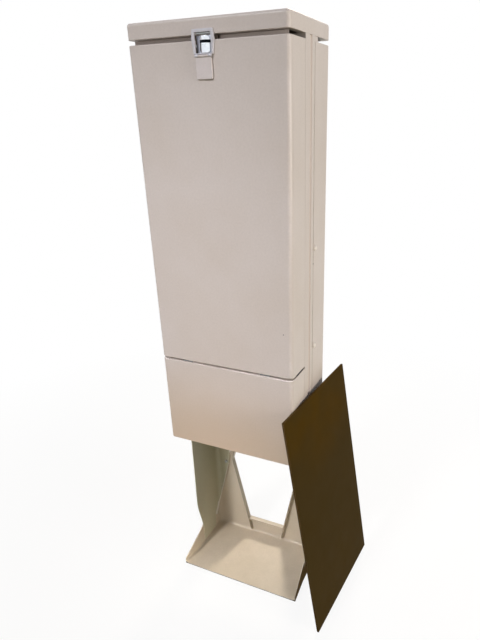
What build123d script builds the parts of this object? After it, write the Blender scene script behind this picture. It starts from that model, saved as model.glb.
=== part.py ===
from build123d import *
import os
from math import cos, radians, sin

# Outdoor control cabinet on a ground stand, in millimetres.
# +X is the cabinet's right side as its door is faced, +Y its back, +Z up.
# The origin is on the ground, under the middle of the cabinet.

# Whole cabinet
WIDTH = 400.0
DEPTH = 240.0
HEIGHT = 1604.0
CORNER_RADIUS = 10.0
SHEET = 1.5
EDGE_RADIUS = 1.8
OVERRUN = 5.0

# Clearances
RUNNING_FIT = 0.05
HOLE_FIT = 0.15
REST_GAP = 0.3

# Roof
ROOF_HEIGHT = 33.5
ROOF_GAP = 10.5
ROOF_LIP = 16.0
ROOF_EDGE_RADIUS = 7.0

# Door
DOOR_BOTTOM = 787.0
DOOR_DEPTH = 84.0
DOOR_FLANGE = 22.0
RAIN_LIP_GAP = 1.0
RAIN_LIP_SETBACK = 16.0
HEM_WIDTH = 9.0
NOTCH_WIDTH = 64.0

# Lower panel
SEAM_GAP = 5.5
PANEL_BOTTOM = 517.0
PANEL_TOP_FLANGE = 34.0

# Rear shell
SHELL_DEPTH = 96.0
SHELL_FLANGE = 14.0
SHELL_SCREW_SETBACK = 8.0
SHELL_SCREW_HEIGHTS = (823.0, 1096.0)
DOME_RADIUS = 5.0
DOME_HEIGHT = 2.6
DOME_ROUND = 1.9
DOME_SHANK_RADIUS = 2.5
DOME_SHANK_LENGTH = 9.0

# Side posts
POST_SHEET = 2.0
POST_FLANGE = 30.0
POST_GAP = 1.0
POST_STRIP = 20.0
GROOVE_OFFSET = 33.0
GROOVE_WIDTH = 17.0
GROOVE_DEPTH = 4.0
GROOVE_RUN = 1.2

# Fixing holes for the mounting board in the posts' rear flanges
BOARD_HOLE_RADIUS = 3.25
BOARD_HOLE_INSET = 18.0
BOARD_HOLE_LOW = 880.0
BOARD_HOLE_RISE = 600.0

# Crossbars between the posts
TOP_BAR_DEPTH = 50.0
TOP_BAR_HEIGHT = 25.0
MIDDLE_BAR_TOP = 745.0
MIDDLE_BAR_HEIGHT = 40.0
MIDDLE_BAR_DEPTH = 20.0

# Hexagon bolts of the roof, the clamp rail, the legs and the stand
BOLT_RADIUS = 3.0
BOLT_HEAD_RADIUS = 5.0
BOLT_HEAD_HEIGHT = 4.0
NUT_RADIUS = 5.0
NUT_HEIGHT = 5.0
BOLT_TAIL = 2.0
ROOF_BOLT_INSET = 10.5
ROOF_BOLT_SPACING = 34.0

# Cable clamp rail
RAIL_MIDDLE = 630.0
RAIL_HEIGHT = 34.0
RAIL_DEPTH = 16.0
RAIL_SLOT = 14.0
RAIL_SIDE_GAP = 10.0
RAIL_BOLT_INSET = 22.0

# Earth bar
EARTH_LENGTH = 120.0
EARTH_HEIGHT = 16.0
EARTH_THICKNESS = 4.0
EARTH_HOLE_RADIUS = 2.75
EARTH_HOLE_COUNT = 7
SPACER_RADIUS = 6.0
SPACER_LENGTH = 8.0
EARTH_SCREW_RADIUS = 2.5
EARTH_SCREW_HEAD_RADIUS = 4.5
EARTH_SCREW_HEAD_HEIGHT = 3.0

# Brackets and screws that carry the lower panel
BRACKET_WIDTH = 26.0
BRACKET_DROP = 32.0
BRACKET_OVERLAP = 16.0
PANEL_SCREW_RADIUS = 2.5
PANEL_SCREW_HEAD_RADIUS = 4.5
PANEL_SCREW_HEAD_HEIGHT = 2.5
PANEL_SCREW_LENGTH = 10.0

# Door hooks, on which the door stands and tilts
HOOK_SPACING = 240.0
HOOK_WIDTH = 30.0
HOOK_SHEET = 2.0
HOOK_SETBACK = 5.0
HOOK_SEAT = 13.0
HOOK_DROP = 16.0
HOOK_SLOT_REACH = 9.0
HOOK_SLOT_FIT = 1.5

# Lock housing on the door and its window
LOCK_AXIS_DROP = 2.0
HOUSING_THICKNESS = 4.5
HOUSING_TOP_WIDTH = 51.0
HOUSING_WIDTH = 56.0
HOUSING_FOOT_WIDTH = 47.0
HOUSING_RISE = 21.0
HOUSING_DROP = 27.0
HOUSING_WAIST = 2.0
HOUSING_RELIEF = 0.8
HOUSING_EDGE_RADIUS = 0.9
WINDOW_WIDTH = 41.0
WINDOW_TOP_RIM = 6.0
WINDOW_FOOT_RIM = 2.0
ROOF_NOTCH_DEPTH = 8.0

# Lock bracket behind the door's face
LOCK_PLATE_SHEET = 2.0
LOCK_PLATE_SETBACK = 8.0
LOCK_PLATE_WIDTH = 60.0
LOCK_PLATE_TOP_GAP = 1.0
LOCK_PLATE_DROP = 34.0
LOCK_TAB = 12.0
LOCK_SCREW_RADIUS = 2.0
LOCK_SCREW_HEAD_RADIUS = 3.6
LOCK_SCREW_HEAD_HEIGHT = 2.4
LOCK_SCREW_DEPTH = 3.2
LOCK_SCREW_DROP = 10.0
LOCK_SCREW_SPACING = 46.4
LOCK_STUD_RADIUS = 2.0
LOCK_STUD_DROP = 14.0
LOCK_STUD_TAIL = 1.0
LOCK_STUD_NUT_RADIUS = 3.5
LOCK_STUD_NUT_HEIGHT = 3.2

# Lock barrel, plug and cam
BARREL_HEAD_WIDTH = 27.0
BARREL_HEAD_LENGTH = 33.5
BARREL_HEAD_CORNER = 8.0
BARREL_HEAD_HEIGHT = 7.0
BARREL_HEAD_CROWN = 20.0
BARREL_HEAD_ROUND = 0.8
BARREL_SLOT_WIDTH = 5.8
BARREL_SLOT_DEPTH = 4.0
BARREL_RADIUS = 7.0
BARREL_TAIL = 6.0
LOCK_NUT_RADIUS = 8.6
LOCK_NUT_HEIGHT = 4.0
PLUG_RADIUS = 6.5
PLUG_PROUD = 0.6
PLUG_EDGE_RADIUS = 0.3
PLUG_FLOOR = 1.5
PLUG_SHAFT_RADIUS = 4.0
PLUG_TANG = 5.0
KEYWAY_DEPTH = 4.6
CAM_PLAY = 1.5
CAM_SHEET = 2.5
CAM_WIDTH = 12.0
CAM_REACH = 26.0
CAM_TIP_RADIUS = 3.0
CAM_SCREW_RADIUS = 2.0
CAM_SCREW_DEPTH = 6.0
CAM_SCREW_HEAD_RADIUS = 4.0
CAM_SCREW_HEAD_HEIGHT = 2.5
KEEPER_WIDTH = 44.0
KEEPER_SHEET = 2.0
KEEPER_RISE = 15.0

# Weather flap over the lock's window
FLAP_WIDTH = 40.0
FLAP_DROP = 45.0
FLAP_THICKNESS = 3.0
FLAP_CORNER = 3.0
FLAP_EDGE_RADIUS = 0.8
FLAP_GAP = 0.5
KNUCKLE_RADIUS = 2.4
KNUCKLE_LENGTH = 24.0
KNUCKLE_GAP = 0.4
EAR_LENGTH = 8.0
PIN_RADIUS = 1.2

# Ground stand
STAND_SHEET = 2.5
STAND_FRONT = 118.0
STAND_BACK = 112.5
STAND_FLARE = 6.4
STAND_FOLD = 15.0
FOOT_FOLD = 8.0
CHEEK_LIP = 20.0
CHEEK_HEIGHT = 78.0
CHEEK_KNEE = 9.0
UPSTAND_HEIGHT = 64.0
UPSTAND_HEM = 12.0
UPSTAND_RETURN = 7.0
OPENING_FOOT_INSET = 142.6
OPENING_KNEE_INSET = 75.6
OPENING_KNEE_RISE = 23.0
GUSSET_SIDE_DROP = 44.0
GUSSET_TIP_RISE = 61.0
GUSSET_TIP_WIDTH = 15.0
GUSSET_TIP_LEAN = 11.0
LIP_DEPTH = 15.0
LIP_RELIEF = 10.0

# Legs of the stand
LEG_FRONT = 34.0
LEG_KNEE_RISE = 100.0
LEG_KNEE_RADIUS = 220.0
LEG_SHOULDER = 490.0
LEG_TONGUE_TOP = 655.0
LEG_TONGUE_GAP = 3.0
LEG_FLANGE_WIDTH = 53.5
LEG_FLANGE_TOP_WIDTH = 64.0
LEG_HEEL_RISE = 90.0
LEG_HEEL_SETBACK = 22.0
LEG_HEEL_DROP = 31.0
LEG_BOLT_HEIGHTS = (560.0, 625.0)
STAND_BOLT_HEIGHT = 284.0
STAND_BOLT_INSET = 44.5

# Mounting board, taken out and leaning on the cabinet's front right corner
BOARD_WIDTH = 390.0
BOARD_HEIGHT = 700.0
BOARD_THICKNESS = 6.0
BOARD_FRONT = 190.0
BOARD_TURN = 4.8
BOARD_LEAN = 8.9

# Places that follow from the sizes
half_width = WIDTH / 2
front = -DEPTH / 2
back = DEPTH / 2
roof_bottom = HEIGHT - ROOF_HEIGHT
shell_top = roof_bottom - ROOF_GAP
door_top = shell_top
door_back = front + DOOR_DEPTH
door_inner_face = front + SHEET
panel_top = DOOR_BOTTOM - SEAM_GAP
shell_front = back - SHELL_DEPTH
post_front = door_back + POST_GAP
strip_face = half_width - SHEET - REST_GAP
post_back = shell_front + POST_STRIP
lip_edge = front + ROOF_LIP
lock_axis = door_top - LOCK_AXIS_DROP
housing_front = front - HOUSING_THICKNESS
housing_top = door_top + HOUSING_RISE
housing_foot = door_top - HOUSING_DROP
plate_front = front + LOCK_PLATE_SETBACK
plate_back = plate_front + LOCK_PLATE_SHEET
cam_front = lip_edge + CAM_PLAY
cam_back = cam_front + CAM_SHEET
flap_axis_y = housing_front - FLAP_GAP
flap_axis_z = housing_foot - FLAP_GAP - KNUCKLE_RADIUS
ridge = half_width - GROOVE_DEPTH - POST_SHEET
groove_middle = post_front + GROOVE_OFFSET
stand_half = ridge + STAND_SHEET
leg_back = STAND_BACK - STAND_SHEET
outer_fold = STAND_FOLD + STAND_SHEET
opening_knee = STAND_BOLT_HEIGHT + OPENING_KNEE_RISE
opening_reach = stand_half - OPENING_KNEE_INSET

made = {}


def block(x_span, y_span, z_span):
    """A box between two values on each axis."""
    spans = (x_span, y_span, z_span)
    sizes = [high - low for low, high in spans]
    middle = [(low + high) / 2 for low, high in spans]
    return Pos(*middle) * Box(*sizes)


def outline(points):
    """A flat face inside a closed line of points."""
    return make_face(Polyline(*points, close=True))


def plate(face, plane, thickness):
    """A face drawn in a plane's own axes and carried along the plane's normal."""
    return extrude(plane * face, thickness)


def rod(start, along, radius, length):
    """A round bar from a point, along a direction."""
    return extrude(Plane(start, z_dir=along) * Circle(radius), length)


def hexagon_bar(start, along, radius, length):
    """A six-sided bar from a point, along a direction; the radius reaches its flats."""
    return extrude(Plane(start, z_dir=along) * RegularPolygon(radius, 6, major_radius=False), length)


def both_sides(solid):
    """A right-hand solid together with its mirror image on the left."""
    return [solid, mirror(solid, Plane.YZ)]


def fuse(solids):
    """One solid made of touching pieces of the same sheet."""
    whole = solids[0]
    for solid in solids[1:]:
        whole = whole + solid
    return whole.clean()


def folded_section(points, thickness):
    """Section of a folded sheet, laid to the left of a line of points with mitred folds."""
    corners = [Vector(*point) for point in points]
    normals = []
    for start, end in zip(corners, corners[1:]):
        run = (end - start).normalized()
        normals.append(Vector(-run.Y, run.X))
    before = [normals[0]] + normals
    after = normals + [normals[-1]]
    inner = []
    for corner, left, right in zip(corners, before, after):
        inner.append(corner + (left + right) * (thickness / (1 + left.dot(right))))
    return outline(corners + inner[::-1])


def bolt(seat, along, grip):
    """A hexagon bolt whose head stands on a seat and whose shank runs through the grip."""
    head = hexagon_bar(seat, -Vector(*along), BOLT_HEAD_RADIUS, BOLT_HEAD_HEIGHT)
    shank = rod(seat, along, BOLT_RADIUS, grip + NUT_HEIGHT + BOLT_TAIL)
    return head + shank


def nut(seat, along):
    """A hexagon nut on a seat, bored for the bolt."""
    body = hexagon_bar(seat, along, NUT_RADIUS, NUT_HEIGHT)
    return body - rod(seat, along, BOLT_RADIUS + RUNNING_FIT, NUT_HEIGHT)


def bolt_hole(start, along, length):
    """The clearance hole that a bolt passes through."""
    run = Vector(*along)
    return rod(Vector(*start) - run * OVERRUN, along, BOLT_RADIUS + HOLE_FIT, length + 2 * OVERRUN)


def pan(face_at, edge_at, bottom, top, bottom_flange, top_flange):
    """An upright pan folded from one sheet: a face, two rounded sides, a flange at each end."""
    depth = edge_at - face_at

    def plan(inset, tail):
        width = WIDTH - 2 * inset
        run = depth - inset + tail
        sheet = Pos(0, face_at + inset + run / 2) * Rectangle(width, run)
        corners = sheet.vertices().sort_by(Axis.Y)[:2]
        return fillet(corners, CORNER_RADIUS - inset)

    outer = extrude(Pos(0, 0, bottom) * plan(0, 0), top - bottom)
    rims = outer.edges().group_by(Axis.Z)
    outer = fillet([edge for edge in rims[0] + rims[-1] if edge.center().Y < edge_at], EDGE_RADIUS)
    inner = extrude(Pos(0, 0, bottom + SHEET) * plan(SHEET, OVERRUN), top - bottom - 2 * SHEET)
    shell = outer - inner
    inside = half_width - SHEET
    open_edge = edge_at + OVERRUN
    foot_cut = (bottom - OVERRUN, bottom + 2 * SHEET)
    head_cut = (top - 2 * SHEET, top + OVERRUN)
    shell -= block((-inside, inside), (face_at + bottom_flange, open_edge), foot_cut)
    shell -= block((-inside, inside), (face_at + top_flange, open_edge), head_cut)
    return shell


def hems(bottom, top):
    """The folded-back rear edges of the door's or the lower panel's sides."""
    inside = half_width - SHEET
    height = (bottom + 2 * SHEET, top - 2 * SHEET)
    return both_sides(block((inside - SHEET, inside), (door_back - HEM_WIDTH, door_back), height))


# Cabinet

def roof_cap():
    """A cap with a rounded top edge, a lip turned in all round its foot and a notch over the lock."""
    plan = RectangleRounded(WIDTH, DEPTH, CORNER_RADIUS)
    cap = extrude(Pos(0, 0, roof_bottom) * plan, ROOF_HEIGHT)
    cap = fillet(cap.edges().group_by(Axis.Z)[-1], ROOF_EDGE_RADIUS)
    room_plan = RectangleRounded(WIDTH - 2 * SHEET, DEPTH - 2 * SHEET, CORNER_RADIUS - SHEET)
    room = extrude(Pos(0, 0, roof_bottom + SHEET) * room_plan, ROOF_HEIGHT - 2 * SHEET)
    room = fillet(room.edges().group_by(Axis.Z)[-1], ROOF_EDGE_RADIUS - SHEET)
    mouth = Rectangle(WIDTH - 2 * ROOF_LIP, DEPTH - 2 * ROOF_LIP)
    cap = cap - room - extrude(Pos(0, 0, roof_bottom - OVERRUN) * mouth, SHEET + 2 * OVERRUN)
    for place in roof_bolt_places():
        cap -= bolt_hole(place, (0, 0, 1), SHEET)
    window = WINDOW_WIDTH / 2
    notch = (front - OVERRUN, front + ROOF_NOTCH_DEPTH)
    cap -= block((-window, window), notch, (roof_bottom - OVERRUN, housing_top - WINDOW_TOP_RIM))
    return cap


def roof_bolt_places():
    """Where the roof's bolts pass up through the top crossbar and the lip."""
    across = half_width - ROOF_BOLT_INSET
    along = ROOF_BOLT_SPACING / 2
    middle = (post_front + shell_front) / 2
    under = roof_bottom - POST_SHEET
    return [(x, middle + y, under) for x in (-across, across) for y in (-along, along)]


def roof_fasteners():
    """The roof's bolts, with heads below the crossbar, and their nuts on the lip."""
    bolts = [bolt(place, (0, 0, 1), POST_SHEET + SHEET) for place in roof_bolt_places()]
    nuts = [nut((x, y, roof_bottom + SHEET), (0, 0, 1)) for x, y, z in roof_bolt_places()]
    return bolts, nuts


def rear_shell():
    """The back of the cabinet, a pan that opens forward over the posts' strips."""
    facing_front = pan(front, front + SHELL_DEPTH, PANEL_BOTTOM, shell_top, SHELL_FLANGE, SHELL_FLANGE)
    shell = mirror(facing_front, Plane.XZ)
    for height in SHELL_SCREW_HEIGHTS:
        for side in (-1, 1):
            start = (side * (half_width + OVERRUN), screw_line(), height)
            shell -= rod(start, (-side, 0, 0), DOME_SHANK_RADIUS + HOLE_FIT, SHEET + 2 * OVERRUN)
    return shell


def screw_line():
    """How far back the rear shell's screws stand."""
    return shell_front + SHELL_SCREW_SETBACK


def rear_shell_screws():
    """Dome-headed screws through the rear shell into the posts' strips."""
    screws = []
    for height in SHELL_SCREW_HEIGHTS:
        seat = Vector(half_width, screw_line(), height)
        head = rod(seat, (1, 0, 0), DOME_RADIUS, DOME_HEIGHT)
        head = fillet(head.edges().group_by(Axis.X)[-1], DOME_ROUND)
        shank = rod(seat, (-1, 0, 0), DOME_SHANK_RADIUS, DOME_SHANK_LENGTH)
        screws += both_sides(head + shank)
    return screws


def side_post():
    """The right post: a grooved web, a stepped strip under the rear shell, two flanges."""
    groove_start = groove_middle - GROOVE_WIDTH / 2
    groove_end = groove_middle + GROOVE_WIDTH / 2
    groove_floor = half_width - GROOVE_DEPTH
    step_end = shell_front - POST_GAP
    section = folded_section(
        [
            (half_width - POST_FLANGE, post_front),
            (half_width, post_front),
            (half_width, groove_start),
            (groove_floor, groove_start + GROOVE_RUN),
            (groove_floor, groove_end - GROOVE_RUN),
            (half_width, groove_end),
            (half_width, step_end - POST_SHEET),
            (strip_face, step_end),
            (strip_face, post_back),
            (half_width - POST_FLANGE, post_back),
        ],
        POST_SHEET,
    )
    post = extrude(Pos(0, 0, PANEL_BOTTOM) * section, roof_bottom - PANEL_BOTTOM)
    for height in SHELL_SCREW_HEIGHTS:
        start = (half_width + OVERRUN, screw_line(), height)
        post -= rod(start, (-1, 0, 0), DOME_SHANK_RADIUS + HOLE_FIT, 2 * POST_SHEET + 2 * OVERRUN)
    for height in (BOARD_HOLE_LOW, BOARD_HOLE_LOW + BOARD_HOLE_RISE):
        start = (half_width - BOARD_HOLE_INSET, post_back + OVERRUN, height)
        post -= rod(start, (0, -1, 0), BOARD_HOLE_RADIUS, POST_SHEET + 2 * OVERRUN)
    for place in leg_bolt_places():
        post -= bolt_hole(place, (-1, 0, 0), POST_SHEET)
    for x, y, z in rail_bolt_places():
        if x > 0:
            post -= bolt_hole((x, post_front, z), (0, 1, 0), POST_SHEET)
    return post


def crossbar(points, sheet):
    """A folded bar between the ridges inside the posts, its section given in Y and Z."""
    section = folded_section(points, sheet)
    return plate(section, Plane.YZ.offset(-ridge), 2 * ridge)


def top_crossbar():
    """A channel under the roof's lip that ties the posts and carries the roof."""
    middle = (post_front + shell_front) / 2
    near, far = middle - TOP_BAR_DEPTH / 2, middle + TOP_BAR_DEPTH / 2
    low = roof_bottom - TOP_BAR_HEIGHT
    bar = crossbar([(far, low), (far, roof_bottom), (near, roof_bottom), (near, low)], POST_SHEET)
    for place in roof_bolt_places():
        bar -= bolt_hole(place, (0, 0, 1), POST_SHEET)
    return bar


def middle_crossbar():
    """A channel behind the posts' front flanges that carries the earth bar."""
    face = post_front + POST_SHEET
    far = face + MIDDLE_BAR_DEPTH
    low = MIDDLE_BAR_TOP - MIDDLE_BAR_HEIGHT
    bar = crossbar([(far, MIDDLE_BAR_TOP), (face, MIDDLE_BAR_TOP), (face, low), (far, low)], POST_SHEET)
    for x, z in earth_screw_places():
        bar -= rod((x, face - OVERRUN, z), (0, 1, 0), EARTH_SCREW_RADIUS + HOLE_FIT, POST_SHEET + 2 * OVERRUN)
    return bar


def earth_screw_places():
    """Where the earth bar is screwed to the middle crossbar, in X and Z."""
    pitch = EARTH_LENGTH / EARTH_HOLE_COUNT
    reach = EARTH_LENGTH / 2 - pitch / 2
    height = MIDDLE_BAR_TOP - MIDDLE_BAR_HEIGHT / 2
    return [(-reach, height), (reach, height)]


def earth_bar():
    """A bar with a row of holes, stood off the middle crossbar."""
    seat = post_front + POST_SHEET - SPACER_LENGTH
    height = MIDDLE_BAR_TOP - MIDDLE_BAR_HEIGHT / 2
    pitch = EARTH_LENGTH / EARTH_HOLE_COUNT
    reach = EARTH_LENGTH / 2
    z_span = (height - EARTH_HEIGHT / 2, height + EARTH_HEIGHT / 2)
    bar = block((-reach, reach), (seat - EARTH_THICKNESS, seat), z_span)
    for index in range(EARTH_HOLE_COUNT):
        start = (pitch / 2 - reach + index * pitch, seat + OVERRUN, height)
        bar -= rod(start, (0, -1, 0), EARTH_HOLE_RADIUS, EARTH_THICKNESS + 2 * OVERRUN)
    return bar


def earth_fittings():
    """The earth bar's two spacers and the screws through them."""
    face = post_front + POST_SHEET
    spacers, screws = [], []
    for x, z in earth_screw_places():
        spacer = rod((x, face, z), (0, -1, 0), SPACER_RADIUS, SPACER_LENGTH)
        bore = rod((x, face, z), (0, -1, 0), EARTH_SCREW_RADIUS + HOLE_FIT, SPACER_LENGTH)
        spacers.append(spacer - bore)
        seat = (x, face - SPACER_LENGTH - EARTH_THICKNESS, z)
        head = rod(seat, (0, -1, 0), EARTH_SCREW_HEAD_RADIUS, EARTH_SCREW_HEAD_HEIGHT)
        grip = EARTH_THICKNESS + SPACER_LENGTH + POST_SHEET + BOLT_TAIL
        screws.append(head + rod(seat, (0, 1, 0), EARTH_SCREW_RADIUS, grip))
    return spacers, screws


def rail_bolt_places():
    """Where the clamp rail is bolted to the posts' front flanges."""
    across = half_width - RAIL_BOLT_INSET
    seat = post_front - POST_SHEET
    return [(x, seat, RAIL_MIDDLE) for x in (-across, across)]


def cable_clamp_rail():
    """A slotted channel on the posts' front flanges, to which cable clamps hook."""
    high, low = RAIL_MIDDLE + RAIL_HEIGHT / 2, RAIL_MIDDLE - RAIL_HEIGHT / 2
    mouth_high, mouth_low = RAIL_MIDDLE + RAIL_SLOT / 2, RAIL_MIDDLE - RAIL_SLOT / 2
    face = post_front - RAIL_DEPTH
    upper = [(post_front, high), (face, high), (face, mouth_high)]
    lower = [(face, mouth_low), (face, low), (post_front, low)]
    section = folded_section(lower + upper, POST_SHEET)
    reach = half_width - RAIL_SIDE_GAP
    rail = plate(section, Plane.YZ.offset(-reach), 2 * reach)
    for place in rail_bolt_places():
        rail -= bolt_hole(place, (0, 1, 0), POST_SHEET)
    return rail


def rail_fasteners():
    """Bolts from inside the clamp rail and nuts behind the posts' flanges."""
    bolts = [bolt(place, (0, 1, 0), 2 * POST_SHEET) for place in rail_bolt_places()]
    nuts = [nut((x, y + 2 * POST_SHEET, z), (0, 1, 0)) for x, y, z in rail_bolt_places()]
    return bolts, nuts


def panel_screw_place():
    """Where the right screw passes down through the lower panel's top flange."""
    across = half_width - POST_FLANGE + BRACKET_WIDTH / 2
    return (across, front + PANEL_TOP_FLANGE - BRACKET_OVERLAP / 2, panel_top)


def lower_panel():
    """The fixed cover under the door, with slots in its top flange for the door's hooks."""
    sheet = pan(front, door_back, PANEL_BOTTOM, panel_top, DOOR_FLANGE, PANEL_TOP_FLANGE)
    panel = fuse([sheet] + hems(PANEL_BOTTOM, panel_top))
    slot_front = hook_front() + HOOK_SEAT - HOOK_SLOT_FIT
    slot_back = hook_front() + HOOK_SEAT + HOOK_SHEET + HOOK_SLOT_REACH
    for side in (-1, 1):
        middle = side * HOOK_SPACING / 2
        reach = HOOK_WIDTH / 2 + HOOK_SLOT_FIT
        slot = (middle - reach, middle + reach)
        panel -= block(slot, (slot_front, slot_back), (panel_top - 2 * SHEET, panel_top + OVERRUN))
        x, y, z = panel_screw_place()
        start = (side * x, y, z + OVERRUN)
        panel -= rod(start, (0, 0, -1), PANEL_SCREW_RADIUS + HOLE_FIT, SHEET + 2 * OVERRUN)
    return panel


def panel_brackets():
    """Angle brackets from the posts' front flanges to the lower panel's top flange."""
    top = panel_top - SHEET
    inner = half_width - POST_FLANGE
    reach = front + PANEL_TOP_FLANGE - BRACKET_OVERLAP
    section = folded_section([(post_front, top - BRACKET_DROP), (post_front, top), (reach, top)], POST_SHEET)
    bracket = plate(section, Plane.YZ.offset(inner), BRACKET_WIDTH)
    x, y, z = panel_screw_place()
    bracket -= rod((x, y, z), (0, 0, -1), PANEL_SCREW_RADIUS + HOLE_FIT, PANEL_SCREW_LENGTH)
    return both_sides(bracket)


def panel_screws():
    """Low-headed screws that hold the lower panel to its brackets."""
    x, y, z = panel_screw_place()
    head = rod((x, y, z), (0, 0, 1), PANEL_SCREW_HEAD_RADIUS, PANEL_SCREW_HEAD_HEIGHT)
    shank = rod((x, y, z), (0, 0, -1), PANEL_SCREW_RADIUS, PANEL_SCREW_LENGTH)
    return both_sides(head + shank)


# Door and lock

def front_door():
    """The door, a pan notched at the top for the lock, with a rain lip and studs for the lock's bracket."""
    sheet = pan(front, door_back, DOOR_BOTTOM, door_top, DOOR_FLANGE, DOOR_FLANGE)
    door = fuse([sheet] + hems(DOOR_BOTTOM, door_top))
    notch = NOTCH_WIDTH / 2
    flange = (door_inner_face, front + DOOR_FLANGE + OVERRUN)
    door -= block((-notch, notch), flange, (door_top - 2 * SHEET, door_top + OVERRUN))
    window = WINDOW_WIDTH / 2
    sill = housing_foot + WINDOW_FOOT_RIM
    door -= block((-window, window), (front - OVERRUN, door_inner_face), (sill, door_top + OVERRUN))
    for x, z in lock_screw_places():
        door -= rod((x, front - OVERRUN, z), (0, 1, 0), LOCK_SCREW_RADIUS + HOLE_FIT, SHEET + 2 * OVERRUN)
    stud_length = LOCK_PLATE_SHEET + LOCK_STUD_NUT_HEIGHT + LOCK_STUD_TAIL
    studs = both_sides(rod(stud_place(), (0, 1, 0), LOCK_STUD_RADIUS, stud_length))
    lip_face = front + RAIN_LIP_SETBACK
    rain_lip = block(
        (notch, half_width - CORNER_RADIUS),
        (lip_face, lip_face + SHEET),
        (door_top - SHEET, roof_bottom - RAIN_LIP_GAP),
    )
    return fuse([door] + studs + both_sides(rain_lip))


def hook_front():
    """How far forward the door's hooks begin, which is where the door tilts."""
    return front + HOOK_SETBACK


def door_hooks():
    """Two bent hooks under the door that stand on the lower panel and reach through its slots."""
    near = hook_front()
    heel = near + HOOK_SEAT
    low = panel_top + REST_GAP
    seat = block((0, HOOK_WIDTH), (near, heel + HOOK_SHEET), (low, DOOR_BOTTOM))
    tail = block((0, HOOK_WIDTH), (heel, heel + HOOK_SHEET), (panel_top - HOOK_DROP, DOOR_BOTTOM))
    hook = Pos((HOOK_SPACING - HOOK_WIDTH) / 2, 0, 0) * (seat + tail)
    return both_sides(hook)


def lock_screw_places():
    """Where the lock housing is screwed through the door, in X and Z."""
    reach = LOCK_SCREW_SPACING / 2
    return [(x, door_top - LOCK_SCREW_DROP) for x in (-reach, reach)]


def lock_housing():
    """A frame round the lock's window that laps over the roof's edge, with ears for the flap."""
    shoulder = door_top + HOUSING_WAIST
    halves = [
        (HOUSING_FOOT_WIDTH / 2, housing_foot),
        (HOUSING_WIDTH / 2, shoulder),
        (HOUSING_TOP_WIDTH / 2, housing_top),
    ]
    points = halves + [(-x, z) for x, z in halves[::-1]]
    body = plate(outline(points), Plane.XZ.offset(-front), HOUSING_THICKNESS)
    body = fillet(body.edges().group_by(Axis.Y)[0], HOUSING_EDGE_RADIUS)
    window = WINDOW_WIDTH / 2
    gap = (housing_foot + WINDOW_FOOT_RIM, housing_top - WINDOW_TOP_RIM)
    body -= block((-window, window), (housing_front - OVERRUN, front + OVERRUN), gap)
    lap = (front - HOUSING_RELIEF, front + OVERRUN)
    body -= block((-HOUSING_WIDTH, HOUSING_WIDTH), lap, (shoulder, housing_top + OVERRUN))
    for x, z in lock_screw_places():
        body -= rod((x, front, z), (0, -1, 0), LOCK_SCREW_RADIUS + RUNNING_FIT, LOCK_SCREW_DEPTH)
    ear_start = KNUCKLE_LENGTH / 2 + KNUCKLE_GAP
    axis = Vector(ear_start, flap_axis_y, flap_axis_z)
    ear = rod(axis, (1, 0, 0), KNUCKLE_RADIUS, EAR_LENGTH)
    ear += block(
        (ear_start, ear_start + EAR_LENGTH),
        (flap_axis_y, front - HOUSING_THICKNESS / 2),
        (flap_axis_z, housing_foot),
    )
    ear -= rod(axis - Vector(OVERRUN), (1, 0, 0), PIN_RADIUS, EAR_LENGTH + 2 * OVERRUN)
    return fuse([body] + both_sides(ear))


def lock_bracket():
    """A bent plate behind the door's window that carries the barrel."""
    reach = LOCK_PLATE_WIDTH / 2
    section = folded_section(
        [
            (-reach - LOCK_TAB, door_inner_face),
            (-reach, door_inner_face),
            (-reach, plate_front),
            (reach, plate_front),
            (reach, door_inner_face),
            (reach + LOCK_TAB, door_inner_face),
        ],
        LOCK_PLATE_SHEET,
    )
    top = roof_bottom - LOCK_PLATE_TOP_GAP
    bottom = lock_axis - LOCK_PLATE_DROP
    bracket = extrude(Pos(0, 0, bottom) * section, top - bottom)
    lid = door_top - 2 * SHEET
    side = block((reach, reach + LOCK_TAB + OVERRUN), (front, plate_back + OVERRUN), (lid, top + OVERRUN))
    stud = stud_place()
    hole = rod(stud, (0, 1, 0), LOCK_STUD_RADIUS + HOLE_FIT, LOCK_PLATE_SHEET)
    for cut in both_sides(side) + both_sides(hole):
        bracket -= cut
    bore = (0, plate_front - OVERRUN, lock_axis)
    return bracket - rod(bore, (0, 1, 0), BARREL_RADIUS + HOLE_FIT, LOCK_PLATE_SHEET + 2 * OVERRUN)


def stud_place():
    """Where the right stud for the lock bracket stands on the door's inner face."""
    across = LOCK_PLATE_WIDTH / 2 + LOCK_PLATE_SHEET + (LOCK_TAB - LOCK_PLATE_SHEET) / 2
    return Vector(across, door_inner_face, lock_axis - LOCK_STUD_DROP)


def lock_bracket_nuts():
    """Nuts that hold the lock bracket on the door's studs."""
    seat = stud_place() + Vector(0, LOCK_PLATE_SHEET)
    body = hexagon_bar(seat, (0, 1, 0), LOCK_STUD_NUT_RADIUS, LOCK_STUD_NUT_HEIGHT)
    return both_sides(body - rod(seat, (0, 1, 0), LOCK_STUD_RADIUS + RUNNING_FIT, LOCK_STUD_NUT_HEIGHT))


def lock_screws():
    """Short screws from inside the door into the lock housing."""
    screws = []
    for x, z in lock_screw_places():
        head = rod((x, door_inner_face, z), (0, 1, 0), LOCK_SCREW_HEAD_RADIUS, LOCK_SCREW_HEAD_HEIGHT)
        shank_length = SHEET + LOCK_SCREW_DEPTH - REST_GAP
        shank = rod((x, door_inner_face, z), (0, -1, 0), LOCK_SCREW_RADIUS, shank_length)
        screws.append(head + shank)
    return screws


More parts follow.
